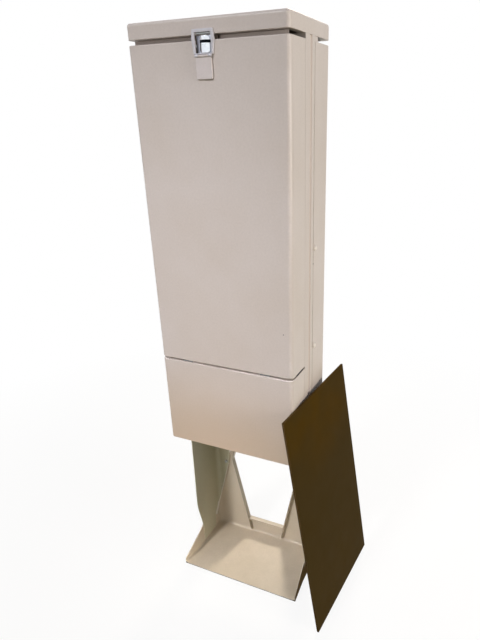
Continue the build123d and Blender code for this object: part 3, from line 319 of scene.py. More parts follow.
@dataclass(frozen=True)
class PowderCoat:
    """Polyester powder coat, sprayed and baked on zinc-coated steel sheet.

    The eye gets a satin skin with fine orange peel, faint clouds where the coat is thicker, paler
    edges that are partly wear and partly a painted highlight, dust where a face looks up, a few
    chips, a groove wall paled as painted light, and towards the ground a warmer, darker tint that
    is painted floor bounce and shade.
    """

    name: str
    colour: str
    cloud: str
    edge_wear_and_highlight: str
    dust: str = "#A79A84"
    # Painted floor bounce and shade: a warmer, darker tint towards the ground.
    bounce_tint: str = "#B89B70"
    chipped: str = "#5D554B"
    roughness: float = 0.4
    ior: float = 1.5
    cloud_size: float = 170.0
    cloud_range: tuple[float, float] = (0.35, 0.68)
    speckle_size: float = 5.0
    speckle_range: tuple[float, float] = (0.3, 0.7)
    speckle_depth: float = 0.03
    edge_size: float = 1.6
    edge_range: tuple[float, float] = (0.985, 0.8)
    edge_share: float = 0.55
    dust_size: float = 45.0
    dust_range: tuple[float, float] = (0.4, 0.75)
    dust_slope: tuple[float, float] = (0.6, 0.95)
    dust_share: float = 0.25
    bounce_share: float = 0.0
    bounce_span: tuple[float, float] = (820.0, 515.0)
    chip_places: Sequence[tuple[float, float, float]] = ()
    chip_rim: tuple[float, float] = (2.56, 1.44)
    chip_ragged: float = 0.96
    scuff_size: float = 14.0
    scuff_stretch: float = 10.0
    scuff_range: tuple[float, float] = (0.3, 0.72)
    scuff_share: float = 0.12
    peel_size: float = 3.2
    peel_height: float = 0.05
    shade_film: FootShadeFilm | None = None
    groove: GrooveWall | None = None

    def painted(self, tree: Tree, point: Socket, speckle: Socket) -> Socket:
        """Mixes the two paints in clouds and lets the speckle lighten and darken them.

        Args:
            tree: the coat's tree.
            point: Object coordinates.
            speckle: the speckle's noise.

        Returns:
            The socket with the colour.
        """
        clouds = add_node(tree, "TexNoise", inputs={
            "Vector": point, "Scale": per_metre(self.cloud_size), "Detail": 3.0, "Roughness": 0.55,
        })
        thin, thick = self.cloud_range
        share = add_node(tree, "MapRange", inputs={"Value": clouds.outputs[0], 1: thin, 2: thick})
        base = add_node(tree, "Mix", {"data_type": "RGBA"}, {
            0: share.outputs[0], 6: linear(self.colour), 7: linear(self.cloud),
        })
        least, most = self.speckle_range
        grain = add_node(tree, "MapRange", inputs={
            "Value": speckle, 1: least, 2: most, 3: 1 - self.speckle_depth, 4: 1 + self.speckle_depth,
        })
        return add_node(tree, "VectorMath", {"operation": "SCALE"}, {
            0: base.outputs[2], "Scale": grain.outputs[0],
        }).outputs[0]

    def edged(self, tree: Tree, colour: Socket, rounded: Socket, normal: Socket) -> Socket:
        """Lightens the edges, where the normal rounded over them turns away from the face's own: partly
        wear, partly a painted highlight.

        Args:
            tree: the coat's tree.
            colour: the colour so far.
            rounded: the normal rounded over the edges.
            normal: the face's own normal.

        Returns:
            The socket with the colour.
        """
        turned = add_node(tree, "VectorMath", {"operation": "DOT_PRODUCT"}, {0: rounded, 1: normal})
        flat, sharp = self.edge_range
        edge = add_node(tree, "MapRange", inputs={
            "Value": turned.outputs["Value"], 1: flat, 2: sharp, 3: 0.0, 4: self.edge_share,
        })
        return add_node(tree, "Mix", {"data_type": "RGBA"}, {
            0: edge.outputs[0], 6: colour, 7: linear(self.edge_wear_and_highlight),
        }).outputs[2]

    def dusted(self, tree: Tree, colour: Socket, point: Socket, facing: Socket) -> Socket:
        """Lets dust settle where the surface looks up, in patches of a few centimetres.

        Args:
            tree: the coat's tree.
            colour: the colour so far.
            point: Object coordinates.
            facing: the object's normal.

        Returns:
            The socket with the colour.
        """
        up = add_node(tree, "SeparateXYZ", inputs={0: facing})
        steep, level = self.dust_slope
        upward = add_node(tree, "MapRange", inputs={
            "Value": up.outputs["Z"], 1: steep, 2: level, 3: 0.0, 4: self.dust_share,
        })
        patches = add_node(tree, "TexNoise", inputs={
            "Vector": point, "Scale": per_metre(self.dust_size), "Detail": 5.0, "Roughness": 0.65,
        })
        bare, full = self.dust_range
        patchy = add_node(tree, "MapRange", inputs={"Value": patches.outputs[0], 1: bare, 2: full})
        dusty = add_node(tree, "Math", {"operation": "MULTIPLY"}, {
            0: upward.outputs[0], 1: patchy.outputs[0],
        })
        return add_node(tree, "Mix", {"data_type": "RGBA"}, {
            0: dusty.outputs[0], 6: colour, 7: linear(self.dust),
        }).outputs[2]

    def bounce_tinted(self, tree: Tree, colour: Socket, point: Socket) -> Socket:
        """Lays a warmer, darker tint over the colour towards the ground, as painted floor bounce and
        shade.

        Args:
            tree: the coat's tree.
            colour: the colour so far.
            point: Object coordinates.

        Returns:
            The socket with the colour.
        """
        height = add_node(tree, "SeparateXYZ", inputs={0: point})
        bounce_top, bounce_bottom = self.bounce_span
        low = add_node(tree, "MapRange", {"interpolation_type": "SMOOTHSTEP"}, {
            "Value": height.outputs["Z"], 1: bounce_top * MM, 2: bounce_bottom * MM, 3: 0.0, 4: self.bounce_share,
        })
        return add_node(tree, "Mix", {"data_type": "RGBA"}, {
            0: low.outputs[0], 6: colour, 7: linear(self.bounce_tint),
        }).outputs[2]

    def chip(
        self, tree: Tree, colour: Socket, point: Socket, speckle: Socket, at: Sequence[float],
    ) -> Socket:
        """Knocks one chip out of the coat, with a rim that the speckle makes ragged.

        Args:
            tree: the coat's tree.
            colour: the colour so far.
            point: Object coordinates.
            speckle: the speckle's noise.
            at: the chip's middle.

        Returns:
            The socket with the colour.
        """
        away = add_node(tree, "VectorMath", {"operation": "DISTANCE"}, {
            0: point, 1: [value * MM for value in at],
        })
        ragged = add_node(tree, "MapRange", inputs={
            "Value": speckle, 3: 0.0, 4: self.chip_ragged * MM,
        })
        reach = add_node(tree, "Math", {"operation": "ADD"}, {
            0: away.outputs["Value"], 1: ragged.outputs[0],
        })
        whole, bare = self.chip_rim
        gone = add_node(tree, "MapRange", inputs={
            "Value": reach.outputs[0], 1: whole * MM, 2: bare * MM,
        })
        return add_node(tree, "Mix", {"data_type": "RGBA"}, {
            0: gone.outputs[0], 6: colour, 7: linear(self.chipped),
        }).outputs[2]

    def scuffed(self, tree: Tree, point: Socket) -> Socket:
        """Gives the roughness, changed by faint wiping scuffs much taller than they are wide.

        Args:
            tree: the coat's tree.
            point: Object coordinates.

        Returns:
            The socket with the roughness.
        """
        stretched = add_node(tree, "Mapping", inputs={
            "Vector": point, "Scale": (1.0, 1.0, 1 / self.scuff_stretch),
        })
        scuffs = add_node(tree, "TexNoise", inputs={
            "Vector": stretched.outputs[0], "Scale": per_metre(self.scuff_size), "Detail": 4.0,
        })
        wiped, clean = self.scuff_range
        return add_node(tree, "MapRange", inputs={
            "Value": scuffs.outputs[0], 1: wiped, 2: clean,
            3: self.roughness * (1 - self.scuff_share), 4: self.roughness * (1 + self.scuff_share),
        }).outputs[0]

    def material(self) -> bpy.types.Material:
        """Makes the coat, from its paint through paler edges that are wear and painted highlight, dust,
        painted bounce and groove light, and chips, to the peel in its bump.
        """
        made, tree, out = new_material(self.name)
        where = add_node(tree, "TexCoord")
        point = where.outputs["Object"]
        normal = add_node(tree, "NewGeometry").outputs["Normal"]
        rounded = add_node(tree, "Bevel", {"samples": 4}, {"Radius": self.edge_size * MM}).outputs[0]
        # Pigment speckle is finer than this; it is drawn at a few millimetres so that it shows.
        speckle = add_node(tree, "TexNoise", inputs={
            "Vector": point, "Scale": per_metre(self.speckle_size), "Detail": 2.0,
        }).outputs[0]
        colour = self.painted(tree, point, speckle)
        colour = self.edged(tree, colour, rounded, normal)
        colour = self.dusted(tree, colour, point, where.outputs["Normal"])
        # Painted warm floor bounce and shade towards the ground.
        if self.bounce_share:
            colour = self.bounce_tinted(tree, colour, point)
        if self.groove:
            # Painted light: the groove's shaded rear wall is paled.
            colour = add_node(tree, "Mix", {"data_type": "RGBA"}, {
                0: self.groove.share(tree, point), 6: colour, 7: linear(self.groove.paint),
            }).outputs[2]
        for place in self.chip_places:
            colour = self.chip(tree, colour, point, speckle, place)
        shine = self.scuffed(tree, point)
        look: dict[str, Socket] = {"Base Color": colour, "Roughness": shine}
        # Painted shade on the foot, matt and without shine where it lies.
        if self.shade_film:
            look = self.shade_film.over(tree, colour, shine, point, normal)
        peel = add_node(tree, "TexNoise", inputs={
            "Vector": point, "Scale": per_metre(self.peel_size), "Detail": 1.5,
        })
        bump = add_node(tree, "Bump", inputs={
            "Height": peel.outputs[0], "Distance": self.peel_height * MM, "Strength": 1.0,
            "Normal": rounded,
        })
        skin = add_node(tree, "BsdfPrincipled", inputs={
            **look, "IOR": self.ior, "Normal": bump.outputs[0],
        })
        tree.links.new(skin.outputs[0], out.inputs[0])
        return made


@dataclass(frozen=True)
class KeySlot:
    """The slot for the key, a level band that lies deeper than the lock's face, painted near black as
    shade with some grease.
    """

    height: float = 1558.0
    half_width: float = 2.95
    face: float = -118.2
    # Painted shade in the slot, partly grease.
    shade_and_grime: str = "#191A20"

    def share(self, tree: Tree, point: Socket) -> Socket:
        """Gives 1 inside the slot and 0 elsewhere.

        Args:
            tree: the metal's tree.
            point: Object coordinates.

        Returns:
            The socket with that share.
        """
        place = add_node(tree, "SeparateXYZ", inputs={0: point})
        level = add_node(tree, "Math", {"operation": "COMPARE"}, {
            0: place.outputs["Z"], 1: self.height * MM, 2: self.half_width * MM,
        })
        deep = add_node(tree, "Math", {"operation": "GREATER_THAN"}, {
            0: place.outputs["Y"], 1: self.face * MM,
        })
        return add_node(tree, "Math", {"operation": "MULTIPLY"}, {
            0: level.outputs[0], 1: deep.outputs[0],
        }).outputs[0]


@dataclass(frozen=True)
class GapShade:
    """Painted shade on the lock bracket's ends, beside the window, where they lie in the dark behind
    the vent gap.
    """

    reach: float = 21.0
    # Painted shade colour for the bracket's ends.
    shade_and_grime: str = "#6E635B"

    def share(self, tree: Tree, point: Socket) -> Socket:
        """Gives 1 on the ends and 0 between them.

        Args:
            tree: the metal's tree.
            point: Object coordinates.

        Returns:
            The socket with that share.
        """
        place = add_node(tree, "SeparateXYZ", inputs={0: point})
        aside = add_node(tree, "Math", {"operation": "ABSOLUTE"}, {0: place.outputs["X"]})
        return add_node(tree, "Math", {"operation": "GREATER_THAN"}, {
            0: aside.outputs[0], 1: self.reach * MM,
        }).outputs[0]


@dataclass(frozen=True)
class PlatedMetal:
    """Bare or plated metal: zinc, chrome or copper, as rolled, plated or polished.

    The eye gets clear reflections broken by a fine grain, tarnish or passivation clouds, finger
    smears that dull the shine in places, and painted shade, dark and dull, in the key slot and
    behind the vent gap.
    """

    name: str
    colour: str
    tarnish: str
    roughness: float
    tarnish_size: float = 14.0
    tarnish_range: tuple[float, float] = (0.4, 0.75)
    tarnish_share: float = 0.5
    smear_size: float = 6.0
    smear_range: tuple[float, float] = (0.35, 0.75)
    smear_share: float = 0.35
    grain_size: float = 1.2
    grain_height: float = 0.01
    shade_patch: KeySlot | GapShade | None = None
    shade_patch_roughness: float = 0.7

    def material(self) -> bpy.types.Material:
        """Makes the metal: tarnish clouds in the colour, smears in the shine, grain in the bump."""
        made, tree, out = new_material(self.name)
        point = add_node(tree, "TexCoord").outputs["Object"]
        clouds = add_node(tree, "TexNoise", inputs={
            "Vector": point, "Scale": per_metre(self.tarnish_size), "Detail": 4.0, "Distortion": 0.6,
        })
        bright, dim = self.tarnish_range
        share = add_node(tree, "MapRange", inputs={
            "Value": clouds.outputs[0], 1: bright, 2: dim, 3: 0.0, 4: self.tarnish_share,
        })
        colour = add_node(tree, "Mix", {"data_type": "RGBA"}, {
            0: share.outputs[0], 6: linear(self.colour), 7: linear(self.tarnish),
        })
        smears = add_node(tree, "TexNoise", inputs={
            "Vector": point, "Scale": per_metre(self.smear_size), "Detail": 3.0,
        })
        clean, smeared = self.smear_range
        shine = add_node(tree, "MapRange", inputs={
            "Value": smears.outputs[0], 1: clean, 2: smeared,
            3: self.roughness, 4: self.roughness * (1 + self.smear_share),
        })
        if self.shade_patch:
            # Painted shade: the patch takes a dark colour and a dull shine, with some oil and grit in
            # the key slot.
            shade_patch_share = self.shade_patch.share(tree, point)
            colour = add_node(tree, "Mix", {"data_type": "RGBA"}, {
                0: shade_patch_share, 6: colour.outputs[2], 7: linear(self.shade_patch.shade_and_grime),
            })
            shine = add_node(tree, "MapRange", inputs={
                "Value": shade_patch_share, 3: shine.outputs[0], 4: self.shade_patch_roughness,
            })
        grain = add_node(tree, "TexNoise", inputs={
            "Vector": point, "Scale": per_metre(self.grain_size), "Detail": 2.0,
        })
        bump = add_node(tree, "Bump", inputs={
            "Height": grain.outputs[0], "Distance": self.grain_height * MM, "Strength": 1.0,
        })
        skin = add_node(tree, "BsdfPrincipled", inputs={
            "Base Color": colour.outputs[2], "Roughness": shine.outputs[0], "Metallic": 1.0,
            "Normal": bump.outputs[0],
        })
        tree.links.new(skin.outputs[0], out.inputs[0])
        return made


@dataclass(frozen=True)
class FilmFacedPlywood:
    """Birch plywood pressed between dark brown phenolic film, with painted edges.

    The eye gets a dull dark face, golden in patches towards its top as painted light, with the
    veneer's grain just telegraphing through, rub marks, and thin plies on the sawn edges under
    their brown paint.
    """

    name: str
    film: str
    film_lit_gold: str
    ply: str
    glue: str
    turn: float
    lean: float
    roughness: float = 0.5
    ior: float = 1.55
    sheen: float = 0.01
    face_range: tuple[float, float] = (0.7, 0.4)
    cloud_size: float = 190.0
    cloud_range: tuple[float, float] = (0.3, 0.6)
    lit_span: tuple[float, float] = (420.0, 620.0)
    lit_least: float = 0.15
    grain_size: float = 9.0
    grain_stretch: float = 0.06
    grain_height: float = 0.02
    ply_size: float = 1.4
    ply_range: tuple[float, float] = (-0.6, 0.6)
    rub_size: float = 60.0
    rub_range: tuple[float, float] = (0.3, 0.75)
    rub_dulling: float = 0.14
    edge_dulling: float = 0.3

    def outward(self) -> tuple[float, float, float]:
        """Direction that the board's outer face looks in."""
        turn, lean = math.radians(self.turn), math.radians(self.lean)
        return math.cos(turn) * math.cos(lean), -math.sin(turn) * math.cos(lean), math.sin(lean)

    def filmed(self, tree: Tree, point: Socket) -> Socket:
        """Gives the film's colour: clouds a hand wide, golden towards the top as painted light.

        Args:
            tree: the board's tree.
            point: Object coordinates.

        Returns:
            The socket with the colour.
        """
        clouds = add_node(tree, "TexNoise", inputs={
            "Vector": point, "Scale": per_metre(self.cloud_size), "Detail": 3.0,
        })
        height = add_node(tree, "SeparateXYZ", inputs={0: point})
        # Painted light: the golden share grows towards the board's top.
        dark, golden = self.lit_span
        upper = add_node(tree, "MapRange", {"interpolation_type": "SMOOTHSTEP"}, {
            "Value": height.outputs["Z"], 1: dark * MM, 2: golden * MM, 3: self.lit_least, 4: 1.0,
        })
        clear, cloudy = self.cloud_range
        patchy = add_node(tree, "MapRange", inputs={"Value": clouds.outputs[0], 1: clear, 2: cloudy})
        warm = add_node(tree, "Math", {"operation": "MULTIPLY"}, {
            0: upper.outputs[0], 1: patchy.outputs[0],
        })
        return add_node(tree, "Mix", {"data_type": "RGBA"}, {
            0: warm.outputs[0], 6: linear(self.film), 7: linear(self.film_lit_gold),
        }).outputs[2]

    def plies(self, tree: Tree, point: Socket) -> Socket:
        """Gives the edge's colour: a wave across the thickness, one ply to a crest.

        Args:
            tree: the board's tree.
            point: Object coordinates.

        Returns:
            The socket with the colour.
        """
        across = add_node(tree, "VectorMath", {"operation": "DOT_PRODUCT"}, {
            0: point, 1: self.outward(),
        })
        layers = add_node(tree, "Math", {"operation": "MULTIPLY"}, {
            0: across.outputs["Value"], 1: math.tau * per_metre(self.ply_size),
        })
        wave = add_node(tree, "Math", {"operation": "SINE"}, {0: layers.outputs[0]})
        glue, wood = self.ply_range
        share = add_node(tree, "MapRange", inputs={"Value": wave.outputs[0], 1: glue, 2: wood})
        return add_node(tree, "Mix", {"data_type": "RGBA"}, {
            0: share.outputs[0], 6: linear(self.glue), 7: linear(self.ply),
        }).outputs[2]

    def material(self) -> bpy.types.Material:
        """Makes the board: film on the faces, plies on the edges by how the surface is turned."""
        made, tree, out = new_material(self.name)
        where = add_node(tree, "TexCoord")
        point = where.outputs["Object"]
        turned = add_node(tree, "VectorMath", {"operation": "DOT_PRODUCT"}, {
            0: where.outputs["Normal"], 1: self.outward(),
        })
        flat = add_node(tree, "Math", {"operation": "ABSOLUTE"}, {0: turned.outputs["Value"]})
        face, side = self.face_range
        edge = add_node(tree, "MapRange", inputs={"Value": flat.outputs[0], 1: face, 2: side})
        colour = add_node(tree, "Mix", {"data_type": "RGBA"}, {
            0: edge.outputs[0], 6: self.filmed(tree, point), 7: self.plies(tree, point),
        })

        rubs = add_node(tree, "TexNoise", inputs={
            "Vector": point, "Scale": per_metre(self.rub_size), "Detail": 6.0, "Roughness": 0.7,
        })
        smooth, rubbed = self.rub_range
        shine = add_node(tree, "MapRange", inputs={
            "Value": rubs.outputs[0], 1: smooth, 2: rubbed,
            3: self.roughness, 4: self.roughness + self.rub_dulling,
        })
        dull = add_node(tree, "Math", {"operation": "MULTIPLY_ADD"}, {
            0: edge.outputs[0], 1: self.edge_dulling, 2: shine.outputs[0],
        })
        stretched = add_node(tree, "Mapping", inputs={
            "Vector": point, "Scale": (1.0, 1.0, self.grain_stretch),
        })
        grain = add_node(tree, "TexNoise", inputs={
            "Vector": stretched.outputs[0], "Scale": per_metre(self.grain_size), "Detail": 5.0,
        })
        bump = add_node(tree, "Bump", inputs={
            "Height": grain.outputs[0], "Distance": self.grain_height * MM, "Strength": 1.0,
        })
        skin = add_node(tree, "BsdfPrincipled", inputs={
            "Base Color": colour.outputs[2], "Roughness": dull.outputs[0], "IOR": self.ior,
            "Specular IOR Level": self.sheen, "Normal": bump.outputs[0],
        })
        tree.links.new(skin.outputs[0], out.inputs[0])
        return made


# Roof, shell, posts, panel and door: satin beige-grey, warmer and darker towards the ground as
# painted floor bounce and shade, the groove's rear wall paled as painted light, with two chips.
CABINET_COAT = PowderCoat(
    "powder_coat_beige_grey", "#C8BEB9", "#C4B9B2", "#D8CEC8",
    bounce_share=0.4, groove=GrooveWall(),
    chip_places=((200.0, 25.0, 1056.0), (176.2, -120.0, 908.9)),
)
# The foot: warmer, its edges near white as a painted highlight, with painted shade as a darker
# matt film outside the right cheek and a dark contact shadow along the front edge.
STAND_COAT = PowderCoat(
    "powder_coat_beige", "#D3C6B3", "#CCBFAA", "#EFE8DB",
    dust_share=0.12, edge_size=2.4, edge_share=0.9, shade_film=FootShadeFilm(),
)
# The legs: the foot's coat, darker and greener as painted shade, its edges near white as a painted
# highlight.
SHADED_LEG_COAT = PowderCoat(
    "powder_coat_beige_painted_shade", "#C8C4AC", "#C2BDA4", "#E6E1D0",
    dust_share=0.12, edge_size=2.4, edge_share=0.9,
)
# The hems: almost white, a painted highlight along the flanges' edges.
HIGHLIGHT_HEM_COAT = PowderCoat(
    "powder_coat_pale_painted_highlight", "#F1ECE2", "#EDE6DA", "#F6F2EA",
    dust_share=0.0, edge_size=0.8,
)
# The lock's flap: a smoother and shinier enamel.
LOCK_COAT = PowderCoat(
    "enamel_grey_beige", "#D0C7C6", "#CAC0BD", "#DED6D3",
    roughness=0.34, cloud_size=40.0, peel_size=2.0, edge_size=0.8,
)
# The lock's housing: the flap's enamel, tinted cool grey as a painted reflection of cool surroundings.
HOUSING_COAT = PowderCoat(
    "enamel_painted_cool_reflection", "#C9C8D0", "#C4C1C7", "#D6D7DE",
    roughness=0.34, cloud_size=40.0, peel_size=2.0, edge_size=0.8,
)
# The shell's screws and their caps: pale enamel that catches the light.
CAP_COAT = PowderCoat(
    "enamel_pale_beige", "#E4DCD5", "#DDD3CB", "#EEE8E2",
    roughness=0.3, cloud_size=20.0, peel_size=2.0, edge_size=0.6,
)
# Screws, bolts and nuts: soft grey shine with yellowish clouds.
ZINC = PlatedMetal("bright_zinc_plate", "#C4C7C9", "#B2AF9F", 0.42)
# The lock's bracket: bluish shine, dull and brown at its ends as painted shade.
BLUE_ZINC = PlatedMetal("blue_passivated_zinc", "#DDE2EF", "#C6CCDE", 0.3, shade_patch=GapShade())
# Bars and brackets inside: matt grey.
GALVANISED = PlatedMetal("dull_galvanised_steel", "#8E9294", "#7B7F7E", 0.55, tarnish_size=25.0)
# The bar behind the vent gap: galvanised steel, darker and tinted brown.
BROWN_TINTED_STEEL = PlatedMetal("brown_tinted_galvanised_steel", "#8A7C66", "#74674F", 0.6, tarnish_size=25.0)
# The lock's face: mirror bright, smeared by fingers, near black in the key's slot as painted shade
# with some grease.
CHROME = PlatedMetal(
    "polished_chrome_plate", "#EFF3F8", "#D2D8E4", 0.07,
    grain_height=0.004, smear_share=0.9, shade_patch=KeySlot(),
)
# The earth bar: bare copper, browned in patches.
COPPER = PlatedMetal("rolled_copper", "#D99B77", "#8F5A3F", 0.28, tarnish_size=22.0)
# The leaning board: dull dark brown, turned and leaned as it stands.
BOARD = FilmFacedPlywood(
    "film_faced_birch_plywood", "#3A2D12", "#443005", "#6A5334", "#2C2110", turn=4.8, lean=8.9,
)


@dataclass
class Wardrobe:
    """Makes each finish once and hands it to nodes and pieces."""

    made: dict[str, bpy.types.Material] = field(default_factory=dict)

    def of(self, finish: Finish) -> bpy.types.Material:
        """Gives a finish's material, made at its first use."""
        if finish.name not in self.made:
            self.made[finish.name] = finish.material()
        return self.made[finish.name]

    def dress(self, finish: Finish, *nodes: str) -> None:
        """Gives CAD nodes a finish.

        Args:
            finish: what they wear.
            nodes: names of CAD nodes.
        """
        for name in nodes:
            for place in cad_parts[name].material_slots:
                place.material = self.of(finish)
            LOG.info("%s wears %s", name, finish.name)


@dataclass(frozen=True)
class ScrewCaps:
    """Pale dome caps over the screws in the rear shell's right side, the one that the photo shows."""

    wall: float = 199.8
    depth: float = 32.0
    heights: Sequence[float] = (823.0, 1096.0)
    radius: float = 8.0
    rise: float = 6.5
    pole: float = 0.08
    rows: int = 14
    columns: int = 28

    def points(self, height: float) -> np.ndarray:
        """Gives one cap's surface.

        With u from a small ring at the pole to the rim and a around, the dome is (wall + rise cos u,
        depth + r sin u cos a, height + r sin u sin a).

        Args:
            height: the screw's height.

        Returns:
            Points of shape (rows, columns, 3).
        """
        slope = np.linspace(self.pole, math.pi / 2, self.rows)[:, None]
        around = np.linspace(0, math.tau, self.columns, endpoint=False)[None, :]
        x = self.wall + self.rise * np.cos(slope) + 0 * around
        y = self.depth + self.radius * np.sin(slope) * np.cos(around)
        z = height + self.radius * np.sin(slope) * np.sin(around)
        return np.stack([x, y, z], axis=-1)

    def build(self, wardrobe: Wardrobe) -> None:
        """Makes the caps."""
        for level, height in zip(("low", "high"), self.heights):
            made = grid_object(f"screw_cap_{level}", self.points(height), around=True)
            made.data.materials.append(wardrobe.of(CAP_COAT))
            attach(made, Body.CABINET.value)


@dataclass
class Cabinet:
    """The still housing: roof, rear shell, posts, lower panel and what is inside."""

    painted: Sequence[str] = (
        "roof_cap", "rear_shell", "side_post_right", "side_post_left", "lower_panel",
    )
    plated: Sequence[str] = (
        "roof_bolts", "roof_nuts", "earth_spacers", "earth_screws", "rail_bolts", "rail_nuts",
        "lock_keeper",
    )
    galvanised: Sequence[str] = (
        "middle_crossbar", "cable_clamp_rail", "panel_brackets", "panel_screws",
    )
    # The bar behind the vent gap, which takes the darker, brown-tinted steel.
    dusty: str = "top_crossbar"
    copper: str = "earth_bar"
    capped: str = "rear_shell_screws"
    caps: ScrewCaps = ScrewCaps()

    def dress(self, wardrobe: Wardrobe) -> None:
        """Gives the housing its coat and caps and the fittings their metals."""
        wardrobe.dress(CABINET_COAT, *self.painted)
        wardrobe.dress(CAP_COAT, self.capped)
        wardrobe.dress(ZINC, *self.plated)
        wardrobe.dress(GALVANISED, *self.galvanised)
        wardrobe.dress(BROWN_TINTED_STEEL, self.dusty)
        wardrobe.dress(COPPER, self.copper)
        self.caps.build(wardrobe)


@dataclass
class Door:
    """The tilting door with the hooks that it stands on."""

    sheet: str = "front_door"
    hooks: str = "door_hooks"

    def dress(self, wardrobe: Wardrobe) -> None:
        """Gives the door its coat and its hooks their zinc."""
        wardrobe.dress(CABINET_COAT, self.sheet)
        wardrobe.dress(GALVANISED, self.hooks)


@dataclass
class Lock:
    """The lock in the door's top edge: housing, weather flap, barrel, plug and cam."""

    housing: str = "lock_housing"
    flap: str = "lock_flap"
    bracket: str = "lock_bracket"
    polished: Sequence[str] = ("lock_barrel", "lock_plug", "flap_pin")
    plated: Sequence[str] = ("lock_bracket_nuts", "lock_screws", "lock_nut", "lock_cam", "cam_screw")

    def dress(self, wardrobe: Wardrobe) -> None:
        """Gives the lock's pieces their finishes."""
        wardrobe.dress(HOUSING_COAT, self.housing)
        wardrobe.dress(LOCK_COAT, self.flap)
        wardrobe.dress(CHROME, *self.polished)
        wardrobe.dress(BLUE_ZINC, self.bracket)
        wardrobe.dress(ZINC, *self.plated)


@dataclass(frozen=True)
class FlangeHem:
    """The rolled hem along the slanted free edge of a leg's rear flange, with its tail on the wall."""

    wall: float = 194.0
    foot: float = 90.0
    reach: float = 53.5
    rise: float = 194.0
    flange_face: float = 107.5
    fold: float = 15.0
    sheet: float = 2.5
    start: float = 4.5
    thickness: float = 3.2
    depth: float = 7.0
    tail_end: tuple[float, float] = (72.8, 60.4)
    tail_rows: int = 24
    rows: int = 48
    columns: int = 20

    def points(self, side: int) -> np.ndarray:
        """Gives the hem's surface for one leg.

        With x from the wall inwards, the edge runs along S(x) = (x, y(x), z(x)), where z rises evenly
        and y lies on the flange's face, flat or on its fold's arc. Before it comes the tail, straight
        in y and z, with x on the wall or the arc. N is the face's normal, T the tangent and
        B = N x T. The hem is S + N (d/2 - sheet/2 + d/2 cos a) + B t/2 sin a.

        Args:
            side: 1 for the right leg, -1 for the left.

        Returns:
            Points of shape (tail rows and rows, columns, 3).
        """
        centre = self.wall - self.sheet - self.fold
        bend = self.flange_face - self.fold
        x = self.wall - np.linspace(self.start, self.reach, self.rows)
        past = np.clip(x - centre, 0.0, self.fold)
        drop = np.sqrt(self.fold ** 2 - past ** 2)
        z = self.foot + (self.wall - x) / self.reach * self.rise
        flange = np.stack([x, bend + drop, z], axis=-1)
        share = np.linspace(0.0, 1.0, self.tail_rows, endpoint=False)[:, None]
        low, high = np.array(self.tail_end), flange[0, 1:]
        tail_line = low + (high - low) * share
        tail_drop = np.clip(tail_line[:, 0] - bend, 0.0, self.fold)
        tail_past = np.sqrt(self.fold ** 2 - tail_drop ** 2)
        tail = np.column_stack([centre + tail_past, tail_line])
        edge = np.concatenate([tail, flange])
        past = np.concatenate([tail_past, past])
        drop = np.concatenate([tail_drop, drop])
        normal = np.stack([-past, -drop, np.zeros_like(past)], axis=-1) / self.fold
        tangent = np.gradient(edge, axis=0)
        tangent /= np.linalg.norm(tangent, axis=1, keepdims=True)
        across = np.cross(normal, tangent)
        angle = np.linspace(0, math.tau, self.columns, endpoint=False)[None, :, None]
        out = (self.depth - self.sheet) / 2 + self.depth / 2 * np.cos(angle)
        surface = edge[:, None] + normal[:, None] * out
        surface = surface + across[:, None] * (self.thickness / 2 * np.sin(angle))
        return surface * (side, 1, 1)

    def build(self, wardrobe: Wardrobe, finish: Finish) -> None:
        """Makes the hems of both legs, in a finish."""
        for side, name in ((1, "leg_hem_right"), (-1, "leg_hem_left")):
            made = grid_object(name, self.points(side), around=True)
            made.data.materials.append(wardrobe.of(finish))
            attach(made, Body.CABINET.value)


@dataclass
class Stand:
    """The ground stand: folded foot, two legs with hemmed flanges, and their bolts."""

    foot: str = "ground_stand"
    legs: Sequence[str] = ("leg_right", "leg_left")
    plated: Sequence[str] = ("leg_bolts", "leg_nuts", "stand_bolts", "stand_nuts")
    hem: FlangeHem = FlangeHem()

    def dress(self, wardrobe: Wardrobe) -> None:
        """Gives foot and legs their coats, the bolts their plating and the legs their hems."""
        wardrobe.dress(STAND_COAT, self.foot)
        wardrobe.dress(SHADED_LEG_COAT, *self.legs)
        wardrobe.dress(ZINC, *self.plated)
        self.hem.build(wardrobe, HIGHLIGHT_HEM_COAT)


@dataclass
class LeaningBoard:
    """The mounting board that leans on the cabinet's side."""

    board: str = "mounting_board"

    def dress(self, wardrobe: Wardrobe) -> None:
        """Gives the board its film and its edges."""
        wardrobe.dress(BOARD, self.board)


@dataclass(frozen=True)
class Lamp:
    """A square area lamp aimed at a point, its power in watts and its spread in degrees."""

    name: str
    place: tuple[float, float, float]
    aim: tuple[float, float, float]
    side: float
    power: float
    colour: str
    spread: float = 180.0

    def build(self) -> None:
        """Makes the lamp, its own -Z turned to its aim and its light kept within its spread."""
        data = bpy.data.lights.new(self.name, "AREA")
        data.size = self.side * MM
        data.energy = self.power
        data.spread = math.radians(self.spread)
        data.color = linear(self.colour)[:3]
        made = bpy.data.objects.new(self.name, data)
        bpy.context.scene.collection.objects.link(made)
        place = Vector(self.place) * MM
        made.location = place
        made.rotation_euler = (Vector(self.aim) * MM - place).to_track_quat("-Z", "Y").to_euler()
        made.visible_camera = False
        LOG.info("lamp %s", self.name)


